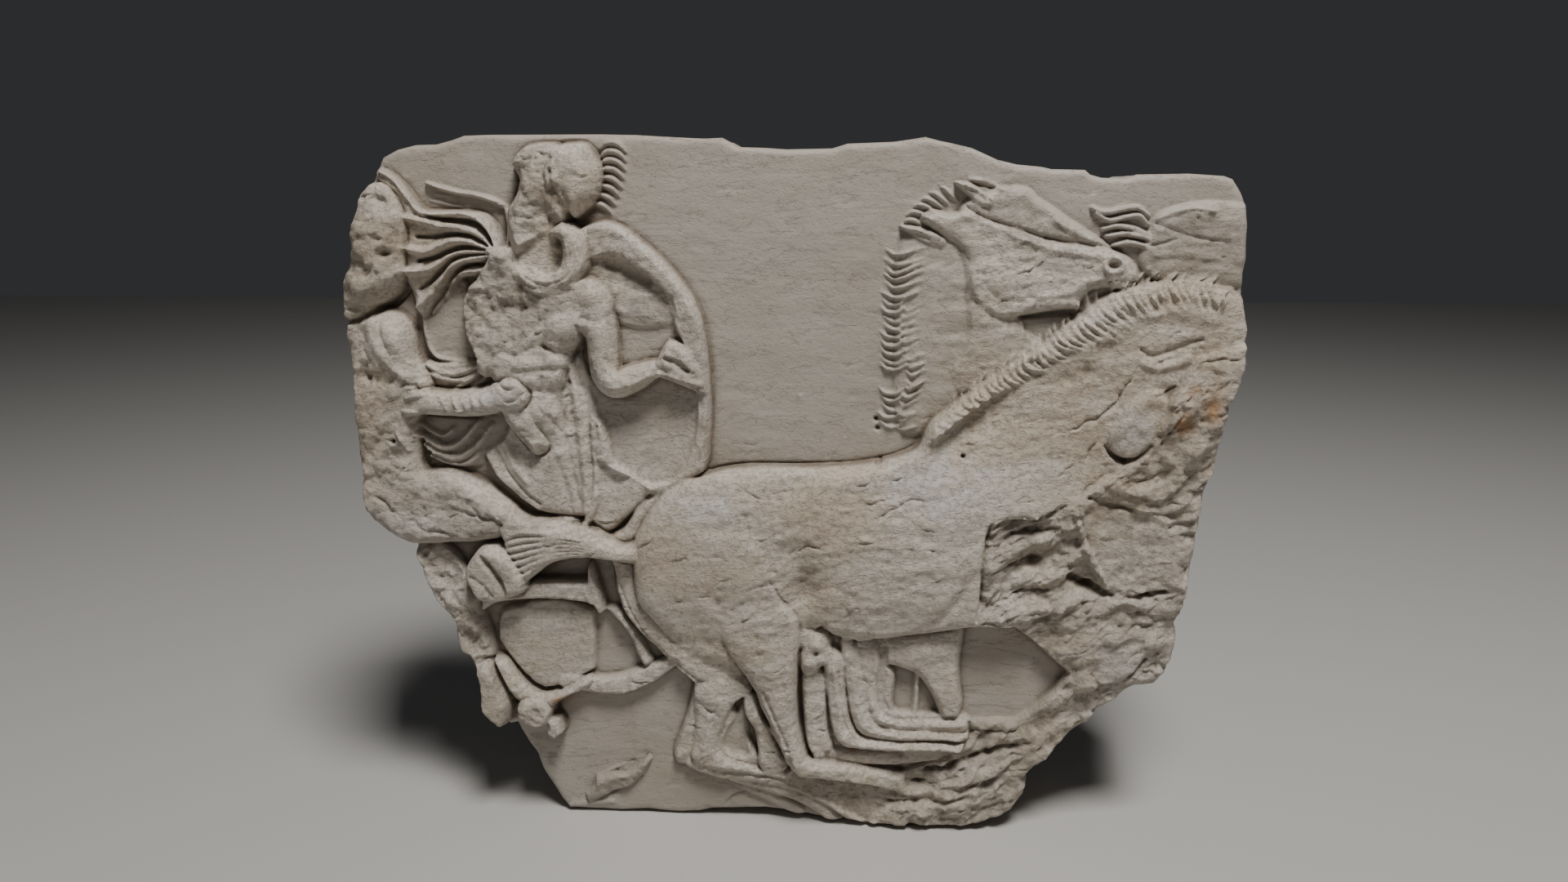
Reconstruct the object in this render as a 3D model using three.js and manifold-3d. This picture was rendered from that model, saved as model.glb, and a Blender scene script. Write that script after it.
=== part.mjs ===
// A broken slab of marble from a frieze, carved in relief: a team of horses seen from the side,
// an armed man with a round shield stepping from a chariot, and what is left of its driver.
// The origin is the middle of the flat back, +X runs to the viewer's right, +Z is up and the
// carved face looks along -Y.
import * as THREE from 'three';
import * as BufferGeometryUtils from 'three/addons/utils/BufferGeometryUtils.js';
import Module from 'manifold-3d';

// Driving dimensions, in millimetres
const slabLength = 1216;        // widest reach from side to side
const slabHeight = 992;         // from the bed to the highest point of the top
const groundThickness = 140;    // flat back to the ground that the figures stand out from
const edgeWear = 9;             // how far the carved face is worn round along its edge
const breakFlare = 30;          // how much further the broken lower sides reach at the back
const sideFlare = 2;            // the same for the dressed top and sides
const contourCut = 2;           // depth of the channel cut round a figure

// How far each form stands out from the ground
const nearHorseRelief = 49;
const nearNeckRelief = 27;
const slantManeRelief = 30;
const rearHorseRelief = 26;
const rearLegRelief = 21;
const innerLegRelief = 30;
const frontHeadRelief = 17;
const middleHeadRelief = 12;
const farHeadRelief = 8;
const uprightManeRelief = 10;
const tailRelief = 45;
const shieldRelief = 28;
const shieldDishRelief = 8;
const dressRelief = 15;
const torsoRelief = 41;
const armRelief = 46;
const helmetRelief = 47;
const crestRelief = 11;
const cloakRelief = 32;
const driverRelief = 44;
const driverHeadRelief = 48;
const forearmRelief = 58;
const chariotRelief = 30;
const chariotLumpRelief = 48;
const wheelRelief = 17;
const breakRelief = 34;

// Fineness of the faceted surface
const gridSteps = 320;          // cells along each side of the height grid
const facetError = 4.2;         // largest gap between a facet and the form on the ground
const deepForgiving = 30;       // height over which that gap may grow by as much again
const curveSteps = 5;           // straight pieces between two points of an outline

// The drawing of the figures is laid out on a sheet of its own, in units of which this many go
// into the slab's length and height. Its middle is the middle of the slab.
const sheetLength = 1216;
const sheetHeight = 992;
const sheetMargin = 20;
const across = slabLength / sheetLength;
const upward = slabHeight / sheetHeight;

// Helpers for curves and smooth steps
const clamp = (value, low, high) => Math.min(Math.max(value, low), high);

function smoothStep(value) {
  const t = clamp(value, 0, 1);
  return t * t * (3 - 2 * t);
}

function curveThrough(points, closed) {
  const out = [];
  const count = points.length;
  const at = (i) => (closed ? points[(i + count) % count] : points[clamp(i, 0, count - 1)]);
  const spans = closed ? count : count - 1;
  for (let i = 0; i < spans; i += 1) {
    const [a, b, c, d] = [at(i - 1), at(i), at(i + 1), at(i + 2)];
    for (let k = 0; k < curveSteps; k += 1) {
      const t = k / curveSteps;
      out.push(b.map((value, n) => value + 0.5 * t * (c[n] - a[n]
        + t * (2 * a[n] - 5 * value + 4 * c[n] - d[n] + t * (3 * (value - c[n]) + d[n] - a[n])))));
    }
  }
  if (!closed) {
    out.push(points[count - 1]);
  }
  return out;
}

// A repeatable rough surface, between -1 and 1: values on a lattice, blended smoothly
function latticeValue(i, k, seed) {
  const s = Math.sin(i * 127.1 + k * 311.7 + seed * 74.7) * 43758.5453;
  return 2 * (s - Math.floor(s)) - 1;
}

function roughness(x, z, size, seed) {
  let total = 0;
  let weight = 1;
  for (let octave = 0; octave < 2; octave += 1) {
    const u = (x / size) * 2 ** octave;
    const v = (z / size) * 2 ** octave;
    const [i, k] = [Math.floor(u), Math.floor(v)];
    const [s, t] = [smoothStep(u - i), smoothStep(v - k)];
    const low = latticeValue(i, k, seed) * (1 - s) + latticeValue(i + 1, k, seed) * s;
    const high = latticeValue(i, k + 1, seed) * (1 - s) + latticeValue(i + 1, k + 1, seed) * s;
    total += weight * (low * (1 - t) + high * t);
    weight *= 0.5;
  }
  return total / 1.5;
}

// The slab's outline, clockwise from the left end of the top
const slabOutline = [
  [-575, 412], [-559, 441], [-545, 470], [-500, 486], [-432, 498], [-250, 499], [-150, 495],
  [-85, 494], [-63, 482], [0, 479], [80, 486], [181, 493], [241, 480], [275, 465], [300, 459],
  [345, 453], [388, 452], [410, 442], [454, 446], [520, 447], [565, 444], [587, 424], [598, 381],
  [600, 280], [607, 246], [603, 205], [588, 150], [576, 51], [567, 0], [557, -108], [545, -163],
  [547, -200], [532, -250], [500, -262], [472, -280], [432, -317], [393, -356], [350, -410],
  [353, -424], [334, -461], [298, -479], [262, -491], [132, -491], [20, -484], [-60, -480],
  [-130, -488], [-330, -490], [-350, -460], [-377, -399], [-404, -351], [-423, -343],
  [-449, -305], [-457, -249], [-484, -215], [-486, -180], [-508, -148], [-535, -75], [-585, -40],
  [-600, 5], [-602, 100], [-600, 170], [-608, 229], [-607, 296], [-588, 360],
];

// The height of the carved face above its ground, kept on a square grid over the sheet
class CarvedFace {
  constructor() {
    this.width = sheetLength + 2 * sheetMargin;
    this.tall = sheetHeight + 2 * sheetMargin;
    this.size = gridSteps + 1;
    this.height = new Float32Array(this.size * this.size);
  }

  x(i) {
    return (i / gridSteps - 0.5) * this.width;
  }

  z(k) {
    return (k / gridSteps - 0.5) * this.tall;
  }

  // Calls change(x, z, height) for each grid point in a box and keeps what it gives back
  each(points, margin, change) {
    const span = (axis, length) => {
      const values = points.map((p) => p[axis]);
      const low = Math.floor(((Math.min(...values) - margin) / length + 0.5) * gridSteps);
      const high = Math.ceil(((Math.max(...values) + margin) / length + 0.5) * gridSteps);
      return [clamp(low, 0, gridSteps), clamp(high, 0, gridSteps)];
    };
    const [i0, i1] = span(0, this.width);
    const [k0, k1] = span(1, this.tall);
    for (let k = k0; k <= k1; k += 1) {
      for (let i = i0; i <= i1; i += 1) {
        const n = k * this.size + i;
        this.height[n] = change(this.x(i), this.z(k), this.height[n]);
      }
    }
  }

  // A raised form with a rounded edge inside a closed outline
  body(outline, relief, edge, cut = contourCut, extra = () => 0) {
    const points = curveThrough(outline, true);
    this.each(points, 3 * cut, (x, z, height) => {
      const inside = depthInside(points, x, z);
      if (inside <= 0) {
        return height - cut * Math.exp(-((inside / cut) ** 2));
      }
      const t = clamp(inside / edge, 0, 1);
      return height + (relief + extra(x, z) - height) * Math.sqrt(1 - (1 - t) ** 2);
    });
  }

  // A rounded limb along a chain of [x, z, half width, relief]
  limb(chain, cut = contourCut) {
    const points = curveThrough(chain, false);
    const reach = Math.max(...points.map((p) => p[2])) + 3 * cut;
    this.each(points, reach, (x, z, height) => {
      const near = nearestOn(points, x, z);
      if (near.share >= 1) {
        return height - cut * Math.exp(-((near.outside / Math.max(cut, 1)) ** 2));
      }
      return height + (near.value - height) * Math.sqrt(1 - near.share ** 2.2);
    });
  }

  // A soft roll added along a chain of [x, z, half width, height], or a channel where it is below 0
  roll(chain) {
    const points = curveThrough(chain, false);
    const reach = Math.max(...points.map((p) => p[2]));
    this.each(points, reach, (x, z, height) => {
      const near = nearestOn(points, x, z);
      return height + near.value * Math.sqrt(Math.max(1 - near.share ** 2, 0));
    });
  }

  // A soft swelling or dent
  swell(x0, z0, reachX, reachZ, rise) {
    const corners = [[x0 - 2 * reachX, z0 - 2 * reachZ], [x0 + 2 * reachX, z0 + 2 * reachZ]];
    this.each(corners, 0, (x, z, height) => {
      const away = ((x - x0) / reachX) ** 2 + ((z - z0) / reachZ) ** 2;
      return height + rise * Math.exp(-1.4 * away);
    });
  }

  // A broken surface laid over an area
  shatter(outline, rise, size, seed) {
    this.each(outline, 0, (x, z, height) => {
      const inside = depthInside(outline, x, z);
      return height + rise * roughness(x, z, size, seed) * smoothStep(inside / size);
    });
  }
}

// How deep a point lies inside a closed outline, below 0 outside it
function depthInside(points, x, z) {
  let best = Infinity;
  let inside = false;
  for (let n = 0, m = points.length - 1; n < points.length; m = n, n += 1) {
    const [ax, az] = points[m];
    const [bx, bz] = points[n];
    const [ex, ez] = [bx - ax, bz - az];
    const t = clamp(((x - ax) * ex + (z - az) * ez) / (ex * ex + ez * ez || 1), 0, 1);
    best = Math.min(best, (x - ax - t * ex) ** 2 + (z - az - t * ez) ** 2);
    if (az > z !== bz > z && x < ax + ((z - az) * ex) / ez) {
      inside = !inside;
    }
  }
  return inside ? Math.sqrt(best) : -Math.sqrt(best);
}

// The nearest place on a chain, as a share of its half width there
function nearestOn(points, x, z) {
  const near = { share: Infinity, value: 0, outside: Infinity };
  for (let n = 1; n < points.length; n += 1) {
    const [a, b] = [points[n - 1], points[n]];
    const [ex, ez] = [b[0] - a[0], b[1] - a[1]];
    const t = clamp(((x - a[0]) * ex + (z - a[1]) * ez) / (ex * ex + ez * ez || 1), 0, 1);
    const away = Math.hypot(x - a[0] - t * ex, z - a[1] - t * ez);
    const half = Math.max(a[2] + (b[2] - a[2]) * t, 0.5);
    near.outside = Math.min(near.outside, away - half);
    if (away / half < near.share) {
      near.share = away / half;
      near.value = a[3] + (b[3] - a[3]) * t;
    }
  }
  return near;
}

// The same list of [x, z, half width] with one relief for all
const chainAt = (relief, points) => points.map(([x, z, half]) => [x, z, half, relief]);

function carveFarHeads(face) {
  face.body([[478, 392], [512, 409], [566, 411], [600, 380], [602, 316], [520, 305], [466, 326],
    [468, 368]], farHeadRelief, 14);
  face.swell(532, 393, 9, 10, 3);
  for (const [z, rise] of [[402, 3], [389, -8], [376, 2], [364, 4]]) {
    face.roll(chainAt(6, [[404, z, 3], [422, z + rise, 4], [442, z + 1, 4], [470, z - 6, 3]]));
  }
  face.body([[236, 414], [285, 432], [314, 430], [350, 405], [390, 379], [440, 342], [300, 335],
    [226, 395]], middleHeadRelief, 14);
  face.limb(chainAt(middleHeadRelief + 4, [[224, 435, 2], [240, 426, 8], [262, 412, 7]]));
}

function carveFrontHead(face) {
  face.body([[182, 352], [232, 366], [262, 290], [330, 240], [300, 195], [206, 122],
    [178, 200]], 0.5 * frontHeadRelief, 16, 0);
  face.body([[176, 388], [214, 399], [240, 401], [280, 381], [342, 360], [400, 353], [448, 342],
    [463, 315], [440, 299], [402, 297], [386, 273], [350, 272], [298, 260], [262, 276], [243, 310],
    [232, 352]], frontHeadRelief, 15);
  face.swell(292, 310, 40, 36, 4);
  face.swell(313, 349, 9, 8, 4);
  face.swell(427, 331, 12, 10, 4);
  face.swell(427, 331, 6, 5, -9);
  face.roll(chainAt(-10, [[316, 266, 3], [345, 266, 6], [388, 268, 4]]));
  face.limb(chainAt(frontHeadRelief + 2, [[156, 376, 2], [174, 372, 8], [197, 358, 6]]));
  for (const [x, z] of [[160, 390], [170, 404], [184, 418], [204, 430]]) {
    face.roll(chainAt(7, [[x, z, 3], [x + 15, z + 2, 5], [x + 28, z, 4]]));
  }
}

function carveUprightMane(face) {
  const [top, foot, locks] = [350, 112, 21];
  const pitch = (top - foot) / locks;
  face.body([[138, top], [160, top + 12], [184, top], [182, 230], [184, foot], [158, foot],
    [140, 230]], 0.5 * uprightManeRelief, 6, 0);
  for (let k = 0; k < locks; k += 1) {
    const z = top - pitch * (k + 0.5);
    face.roll(chainAt(0.6 * uprightManeRelief, [[138, z - 3, 2], [158, z - 6, 4], [184, z + 5, 3]]));
  }
}

function carveNearNeck(face) {
  face.body([[205, 118], [245, 140], [290, 172], [380, 232], [440, 272], [480, 286], [520, 289],
    [586, 268], [604, 215], [588, 120], [560, -60], [540, -110], [330, -165], [120, -190],
    [60, -178], [40, 0], [90, 48], [180, 80]], nearNeckRelief, 26, 0);
  face.swell(300, 60, 120, 70, 16);
  const line = [[203, 112, 12], [240, 146, 18], [290, 181, 20], [340, 212, 21], [380, 243, 22],
    [410, 263, 22], [440, 283, 20], [480, 297, 17], [520, 300, 16], [560, 295, 15], [588, 278, 12]];
  face.limb(chainAt(slantManeRelief, line));
  const route = curveThrough(line, false);
  for (let n = 3; n < route.length - 2; n += 2) {
    const [x, z, half] = route[n];
    const away = Math.atan2(route[n + 1][1] - z, route[n + 1][0] - x) + 0.6 * Math.PI;
    const [ux, uz] = [Math.cos(away) * half, Math.sin(away) * half];
    face.roll(chainAt(6, [[x - ux, z - uz, 3], [x, z, 4.5], [x + ux, z + uz, 3]]));
  }
}

function carveRearHorses(face) {
  face.body([[-246, -95], [-262, -60], [-229, -36], [-195, 7], [-165, 31], [-110, 44], [0, 57],
    [100, 62], [100, -100], [-60, -290], [-108, -290], [-135, -268], [-205, -200], [-238, -150],
    [-244, -125]], rearHorseRelief, 12);
  face.body([[-135, -262], [-145, -320], [-164, -372], [-160, -400], [-120, -398], [-92, -372],
    [-68, -305], [-50, -270], [-80, -240]], rearLegRelief, 13);
  face.swell(-98, -300, 26, 34, 6);
  face.body([[-62, -285], [-76, -338], [-86, -374], [-30, -392], [-40, -320]], 0.5 * rearLegRelief, 9);
  const legs = [
    [0, [[-92, -390, 12], [-60, -398, 12], [10, -408, 10]]],
    [1, [[-150, -385, 15], [-92, -402, 11], [0, -418, 9]]],
    [2, [[-40, -290, 7], [-34, -330, 7], [-22, -365, 9], [-10, -392, 11]]],
    [-7, [[-60, -418, 9], [0, -424, 10], [40, -438, 11], [80, -458, 11], [112, -488, 12]]],
    [-12, [[-40, -440, 6], [30, -462, 8], [80, -480, 8]]],
  ];
  for (const [rise, points] of legs) {
    face.limb(chainAt(rearLegRelief + rise, points));
  }
}

function carveInnerLegs(face) {
  face.body([[130, -206], [185, -190], [252, -178], [249, -228], [250, -290], [224, -298],
    [200, -262], [186, -246], [132, -226]], 0.75 * innerLegRelief, 12);
  face.body([[74, -196], [128, -200], [132, -236], [112, -300], [92, -300]], 0.75 * innerLegRelief, 9);
  face.body([[132, -236], [157, -250], [156, -300], [150, -318], [132, -312]], 0.55 * innerLegRelief, 7);
  const nested = [
    [0.68, [[96, -250, 9], [104, -285, 9], [118, -318, 10], [142, -333, 9], [245, -325, 8]]],
    [0.88, [[76, -252, 9], [84, -290, 9], [96, -322, 10], [122, -341, 9], [262, -350, 7]]],
    [1.1, [[60, -255, 8], [66, -300, 8], [76, -336, 11], [98, -352, 11], [262, -360, 8]]],
    [1, [[38, -255, 8], [40, -300, 8], [42, -345, 8], [48, -375, 9]]],
    [0.9, [[60, -379, 6], [90, -381, 7], [158, -386, 6]]],
    [0.65, [[238, -280, 11], [240, -312, 11], [262, -330, 9]]],
  ];
  for (const [share, points] of nested) {
    face.limb(chainAt(share * innerLegRelief, points));
  }
}

function carveNearHorse(face) {
  face.body([[-213, -62], [-195, -18], [-163, 22], [-110, 42], [-60, 53], [60, 57], [130, 66],
    [190, 92], [280, 110], [340, 95], [400, 10], [380, -40], [330, -150], [312, -166], [250, -174],
    [200, -184], [130, -195], [72, -191], [30, -178], [22, -200], [22, -250], [26, -290],
    [24, -342], [42, -378], [40, -398], [28, -409], [4, -385], [-10, -347], [-36, -320],
    [-50, -277], [-70, -262], [-130, -228], [-168, -194], [-206, -148], [-213, -120]],
  nearHorseRelief, 26, 1.5 * contourCut);
  face.swell(-90, -110, 90, 100, 7);
  face.swell(140, -70, 110, 90, 4);
  face.roll(chainAt(-6, [[-20, -70, 10], [-8, -118, 12], [4, -140, 12], [18, -168, 9]]));
  face.limb(chainAt(0.85 * nearHorseRelief, [[34, -392, 13], [70, -396, 11], [150, -409, 11],
    [190, -420, 12]]));
  face.body([[20, -178], [48, -176], [66, -212], [40, -246], [20, -244]], 0.75 * nearHorseRelief, 14);
}

function carveTail(face) {
  face.body([[-205, -52], [-228, -56], [-300, -28], [-395, -28], [-400, -60], [-372, -118],
    [-338, -94], [-290, -79], [-208, -84]], tailRelief, 13);
  const strands = 4;
  for (let k = 0; k < strands; k += 1) {
    const t = (k + 0.5) / strands;
    face.roll(chainAt(5, [[-225, -57 - 20 * t, 5], [-290, -42 - 34 * t, 6], [-348, -40 - 60 * t, 8],
      [-385, -48 - 66 * t, 6]]));
  }
  face.body([[-457, -100], [-435, -140], [-410, -144], [-373, -131], [-364, -118], [-396, -63],
    [-425, -60]], 1.2 * tailRelief, 13);
}

function carveChariot(face) {
  face.body([[-440, -165], [-430, -120], [-285, -116], [-266, -94], [-260, -158], [-290, -151],
    [-332, -141], [-400, -148]], chariotRelief, 9);
  face.limb(chainAt(0.8 * chariotRelief, [[-252, -160, 10], [-217, -190, 11], [-196, -240, 10]]));
  face.limb(chainAt(wheelRelief, [[-318, -272, 14], [-262, -278, 14], [-212, -264, 14],
    [-165, -238, 10]]));
  face.body([[-427, -238], [-408, -240], [-374, -284], [-355, -292], [-312, -278], [-285, -262],
    [-285, -276], [-335, -308], [-352, -330], [-385, -312], [-420, -262]], chariotRelief, 9);
  face.body([[-392, -305], [-352, -298], [-330, -335], [-330, -352], [-350, -345], [-382, -338]],
    chariotLumpRelief, 12);
  face.body([[-455, -246], [-450, -312], [-420, -348], [-402, -300], [-424, -248]],
    0.85 * chariotLumpRelief, 12);
}

function carveShield(face) {
  face.body([[-300, 372], [-245, 387], [-196, 364], [-149, 320], [-114, 262], [-103, 180],
    [-104, 90], [-125, 38], [-200, 10], [-290, 40], [-320, 200]], shieldRelief, 10);
  face.body([[-300, 340], [-230, 345], [-185, 320], [-153, 270], [-121, 180], [-119, 120],
    [-139, 54], [-190, 26], [-241, 60], [-256, 115], [-300, 150]], shieldDishRelief, 8, 0);
  face.body([[-240, 298], [-205, 290], [-158, 290], [-155, 264], [-225, 268]], 2.4 * shieldDishRelief, 9);
}

function carveDress(face) {
  face.body([[-430, 120], [-424, 60], [-392, 18], [-350, -15], [-285, -24], [-206, -2], [-206, 28],
    [-258, 62], [-268, 150], [-330, 170]], dressRelief, 10);
  face.limb(chainAt(1.5 * dressRelief, [[-398, 90, 14], [-374, 10, 14], [-352, -12, 10]]));
  face.limb(chainAt(1.8 * dressRelief, [[-322, 110, 16], [-308, 20, 16], [-292, -12, 11]]));
  face.limb(chainAt(1.9 * dressRelief, [[-285, 165, 12], [-280, 130, 15], [-268, 70, 7], [-262, 10, 6],
    [-278, -34, 5]]));
}

function carveWarrior(face) {
  face.body([[-300, 300], [-262, 292], [-268, 236], [-299, 190], [-311, 145], [-308, 90],
    [-350, 78], [-392, 150], [-416, 200], [-436, 282], [-410, 312], [-350, 310]], torsoRelief, 17);
  face.swell(-290, 250, 30, 28, 8);
  face.swell(-352, 246, 28, 26, 6);
  face.roll(chainAt(-5, [[-345, 218, 6], [-302, 214, 7], [-271, 232, 6]]));
  face.shatter([[-436, 240], [-432, 300], [-370, 318], [-300, 292], [-350, 228], [-400, 180]], 9, 26, 3);
  face.limb(chainAt(armRelief, [[-262, 292, 24], [-250, 235, 23], [-246, 178, 22], [-215, 172, 22],
    [-178, 188, 14], [-166, 192, 12]]));
  face.body([[-176, 202], [-150, 229], [-124, 206], [-106, 158], [-160, 176]], 0.83 * armRelief, 9);
  face.body([[-355, 440], [-350, 480], [-300, 487], [-286, 400], [-320, 350], [-368, 350],
    [-373, 395]], 0.83 * helmetRelief, 14);
  face.shatter([[-372, 350], [-350, 484], [-300, 484], [-290, 350]], 9, 34, 5);
  face.body([[-308, 470], [-283, 489], [-246, 466], [-247, 421], [-281, 388], [-301, 428]],
    helmetRelief, 24);
  const crescents = 8;
  for (let k = 0; k < crescents; k += 1) {
    const [x, z] = [-0.45 * k * k, 488 - 11.3 * k];
    face.roll(chainAt(crestRelief, [[x - 243, z - 7, 4], [x - 230, z, 5], [x - 213, z - 12, 4]]));
  }
}

function carveCloak(face) {
  face.body([[-360, 314], [-320, 291], [-277, 307], [-263, 345], [-283, 381], [-322, 372]],
    1.4 * cloakRelief, 12);
  face.swell(-305, 350, 22, 26, -18);
  face.body([[-388, 356], [-420, 396], [-485, 399], [-514, 440], [-548, 450], [-512, 360],
    [-505, 268], [-480, 262], [-440, 318], [-392, 325]], 0.6 * cloakRelief, 9);
  const folds = [
    [[-392, 352, 6], [-420, 392, 7], [-470, 396, 7], [-508, 421, 7], [-541, 451, 4]],
    [[-395, 350, 5], [-450, 380, 7], [-510, 391, 5]],
    [[-400, 346, 5], [-440, 364, 7], [-480, 346, 6], [-510, 360, 5]],
    [[-402, 343, 5], [-455, 341, 7], [-518, 321, 5]],
    [[-405, 337, 5], [-442, 338, 7], [-464, 312, 8], [-499, 276, 5]],
  ];
  for (const points of folds) {
    face.roll(chainAt(0.5 * cloakRelief, points));
  }
  face.roll(chainAt(-0.4 * cloakRelief, [[-396, 352, 4], [-416, 380, 5], [-472, 391, 4]]));
  face.limb(chainAt(0.4 * cloakRelief, [[-482, 437, 3], [-440, 425, 4], [-376, 405, 5]]));
  face.limb(chainAt(0.6 * cloakRelief, [[-372, 402, 5], [-374, 350, 5]]));
  face.body([[-500, 196], [-440, 196], [-405, 200], [-402, 176], [-500, 162]], 0.55 * cloakRelief, 6, 0);
}

function carveDriver(face) {
  face.body([[-612, 260], [-530, 262], [-508, 235], [-500, 195], [-488, 160], [-508, 45],
    [-470, 45], [-395, 5], [-360, -20], [-300, -22], [-250, -45], [-380, -50], [-480, -65],
    [-540, -66], [-606, 0], [-606, 180]], driverRelief, 20);
  face.swell(-545, 240, 40, 32, 8);
  face.body([[-590, 345], [-570, 425], [-545, 440], [-510, 398], [-515, 345], [-545, 278],
    [-606, 262]], driverHeadRelief, 18);
  face.swell(-545, 352, 22, 20, 8);
  face.shatter([[-606, 20], [-606, 430], [-520, 430], [-510, 60]], 9, 38, 7);
  face.limb([[-528, 138, 16, driverRelief], [-470, 140, 20, forearmRelief - 5],
    [-410, 145, 21, forearmRelief], [-368, 156, 22, forearmRelief]], 1.7 * contourCut);
  face.limb([[-370, 128, 20, driverRelief], [-338, 80, 13, driverRelief]]);
  face.body([[-536, -72], [-478, -76], [-438, -146], [-430, -240], [-458, -252], [-505, -160]],
    0.7 * driverRelief, 13);
  face.shatter([[-536, -72], [-478, -76], [-438, -146], [-430, -240], [-458, -252]], 9, 24, 9);
}

// The shattered lower right: steps along a cleavage that climbs to the right
function carveBreak(face) {
  const area = [[275, -18], [380, 12], [450, 60], [520, 160], [560, 215], [604, 225], [585, 90],
    [560, -60], [545, -215], [480, -272], [370, -385], [330, -465], [280, -487], [150, -490],
    [160, -455], [200, -435], [170, -405], [262, -380], [350, -312], [390, -262], [345, -195],
    [315, -168], [268, -140]];
  const slope = THREE.MathUtils.degToRad(32);
  const stepWidth = 34;
  face.each(area, 0, (x, z, height) => {
    const along = x * Math.cos(slope) + z * Math.sin(slope);
    const over = z * Math.cos(slope) - x * Math.sin(slope);
    const turn = over / stepWidth + roughness(along / 2.4, over, 60, 11);
    const low = z < -300 ? 0.5 * breakRelief : breakRelief - 0.05 * (x - 300) + 0.055 * (z + 100);
    const goal = low + 7 * (turn - Math.floor(turn)) + 7 * roughness(along / 2, over, 40, 13);
    return height + (goal - height) * smoothStep(depthInside(area, x, z) / 9);
  });
  face.swell(412, -98, 24, 12, -14);
  face.swell(436, 4, 34, 14, -12);
  face.body([[438, 135], [474, 150], [494, 118], [468, 80], [440, 92]], 1.05 * breakRelief, 12);
}

// The face is worn round towards the slab's edge, and stays flat outside it
function wearEdges(face) {
  face.each([[-sheetLength, -sheetHeight], [sheetLength, sheetHeight]], 0, (x, z, height) => {
    const t = clamp(depthInside(slabOutline, x, z) / edgeWear, 0, 1);
    return height - (1 - Math.sqrt(1 - (1 - t) ** 2)) * (height + edgeWear);
  });
}

// Facets of the carved face: starts with two large triangles and adds the grid point that lies
// furthest from its triangle, again and again, keeping the triangles as even as they can be
class FacetNet {
  constructor(face) {
    this.face = face;
    this.queue = [];
    const last = face.size - 1;
    this.corners = [[0, 0], [last, 0], [last, last], [0, last]];
    const low = this.addTriangle([0, 1, 2]);
    const high = this.addTriangle([0, 2, 3]);
    low.beside[2] = high;
    high.beside[0] = low;
  }

  heightAt([i, k]) {
    return this.face.height[k * this.face.size + i];
  }

  // A triangle knows the neighbour across each side, from corner n to the next one
  addTriangle(ring) {
    const triangle = { ring, beside: [null, null, null], alive: true, error: 0, worst: null };
    this.findWorst(triangle);
    this.push(triangle);
    return triangle;
  }

  // The grid point in a triangle that lies furthest from its plane
  findWorst(triangle) {
    const [a, b, c] = triangle.ring.map((n) => this.corners[n]);
    const [ha, hb, hc] = [a, b, c].map((p) => this.heightAt(p));
    const area = turnOf(a, b, c);
    for (let k = Math.min(a[1], b[1], c[1]); k <= Math.max(a[1], b[1], c[1]); k += 1) {
      for (let i = Math.min(a[0], b[0], c[0]); i <= Math.max(a[0], b[0], c[0]); i += 1) {
        const p = [i, k];
        const [u, v, w] = [turnOf(b, c, p), turnOf(c, a, p), turnOf(a, b, p)];
        if (u >= 0 && v >= 0 && w >= 0) {
          const height = this.heightAt(p);
          const error = Math.abs((u * ha + v * hb + w * hc) / area - height)
            / (1 + Math.abs(height) / deepForgiving);
          if (error > triangle.error) {
            triangle.error = error;
            triangle.worst = p;
          }
        }
      }
    }
  }

  // The queue is a heap with the largest error first
  push(triangle) {
    const { queue } = this;
    let n = queue.push(triangle) - 1;
    while (n > 0 && queue[(n - 1) >> 1].error < triangle.error) {
      queue[n] = queue[(n - 1) >> 1];
      n = (n - 1) >> 1;
    }
    queue[n] = triangle;
  }

  pop() {
    const { queue } = this;
    const top = queue[0];
    const moved = queue.pop();
    let n = 0;
    while (queue.length > 2 * n + 1) {
      let below = 2 * n + 1;
      if (below + 1 < queue.length && queue[below + 1].error > queue[below].error) {
        below += 1;
      }
      if (queue[below].error <= moved.error) {
        break;
      }
      queue[n] = queue[below];
      n = below;
    }
    if (queue.length > 0) {
      queue[n] = moved;
    }
    return top;
  }

  // Takes out the triangles whose circle holds the point and joins it to the edge of the gap
  insert(point, home) {
    const gone = [home];
    home.alive = false;
    const rim = [];
    for (let n = 0; n < gone.length; n += 1) {
      for (let side = 0; side < 3; side += 1) {
        const other = gone[n].beside[side];
        if (other && other.alive && circleHolds(other.ring.map((m) => this.corners[m]), point)) {
          other.alive = false;
          gone.push(other);
        }
      }
    }
    for (const triangle of gone) {
      triangle.beside.forEach((other, side) => {
        if (!other || other.alive) {
          rim.push([triangle.ring[side], triangle.ring[(side + 1) % 3], other]);
        }
      });
    }
    const own = this.corners.push(point) - 1;
    const starting = new Map();
    const ending = new Map();
    for (const [from, to, other] of rim) {
      if (turnOf(this.corners[from], this.corners[to], point) > 0) {
        const made = this.addTriangle([from, to, own]);
        made.beside[0] = other;
        if (other) {
          other.beside[other.ring.indexOf(to)] = made;
        }
        starting.set(from, made);
        ending.set(to, made);
      }
    }
    for (const [corner, made] of starting) {
      const before = ending.get(corner);
      if (before) {
        made.beside[2] = before;
        before.beside[1] = made;
      }
    }
  }

  triangles() {
    while (this.queue.length > 0 && this.queue[0].error > facetError) {
      const next = this.pop();
      if (next.alive) {
        this.insert(next.worst, next);
      }
    }
    return this.queue.filter((t) => t.alive).map((t) => t.ring.map((n) => this.corners[n]));
  }
}

// Twice the area of a triangle, above 0 where its corners run anticlockwise
function turnOf(a, b, c) {
  return (b[0] - a[0]) * (c[1] - a[1]) - (b[1] - a[1]) * (c[0] - a[0]);
}

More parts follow.
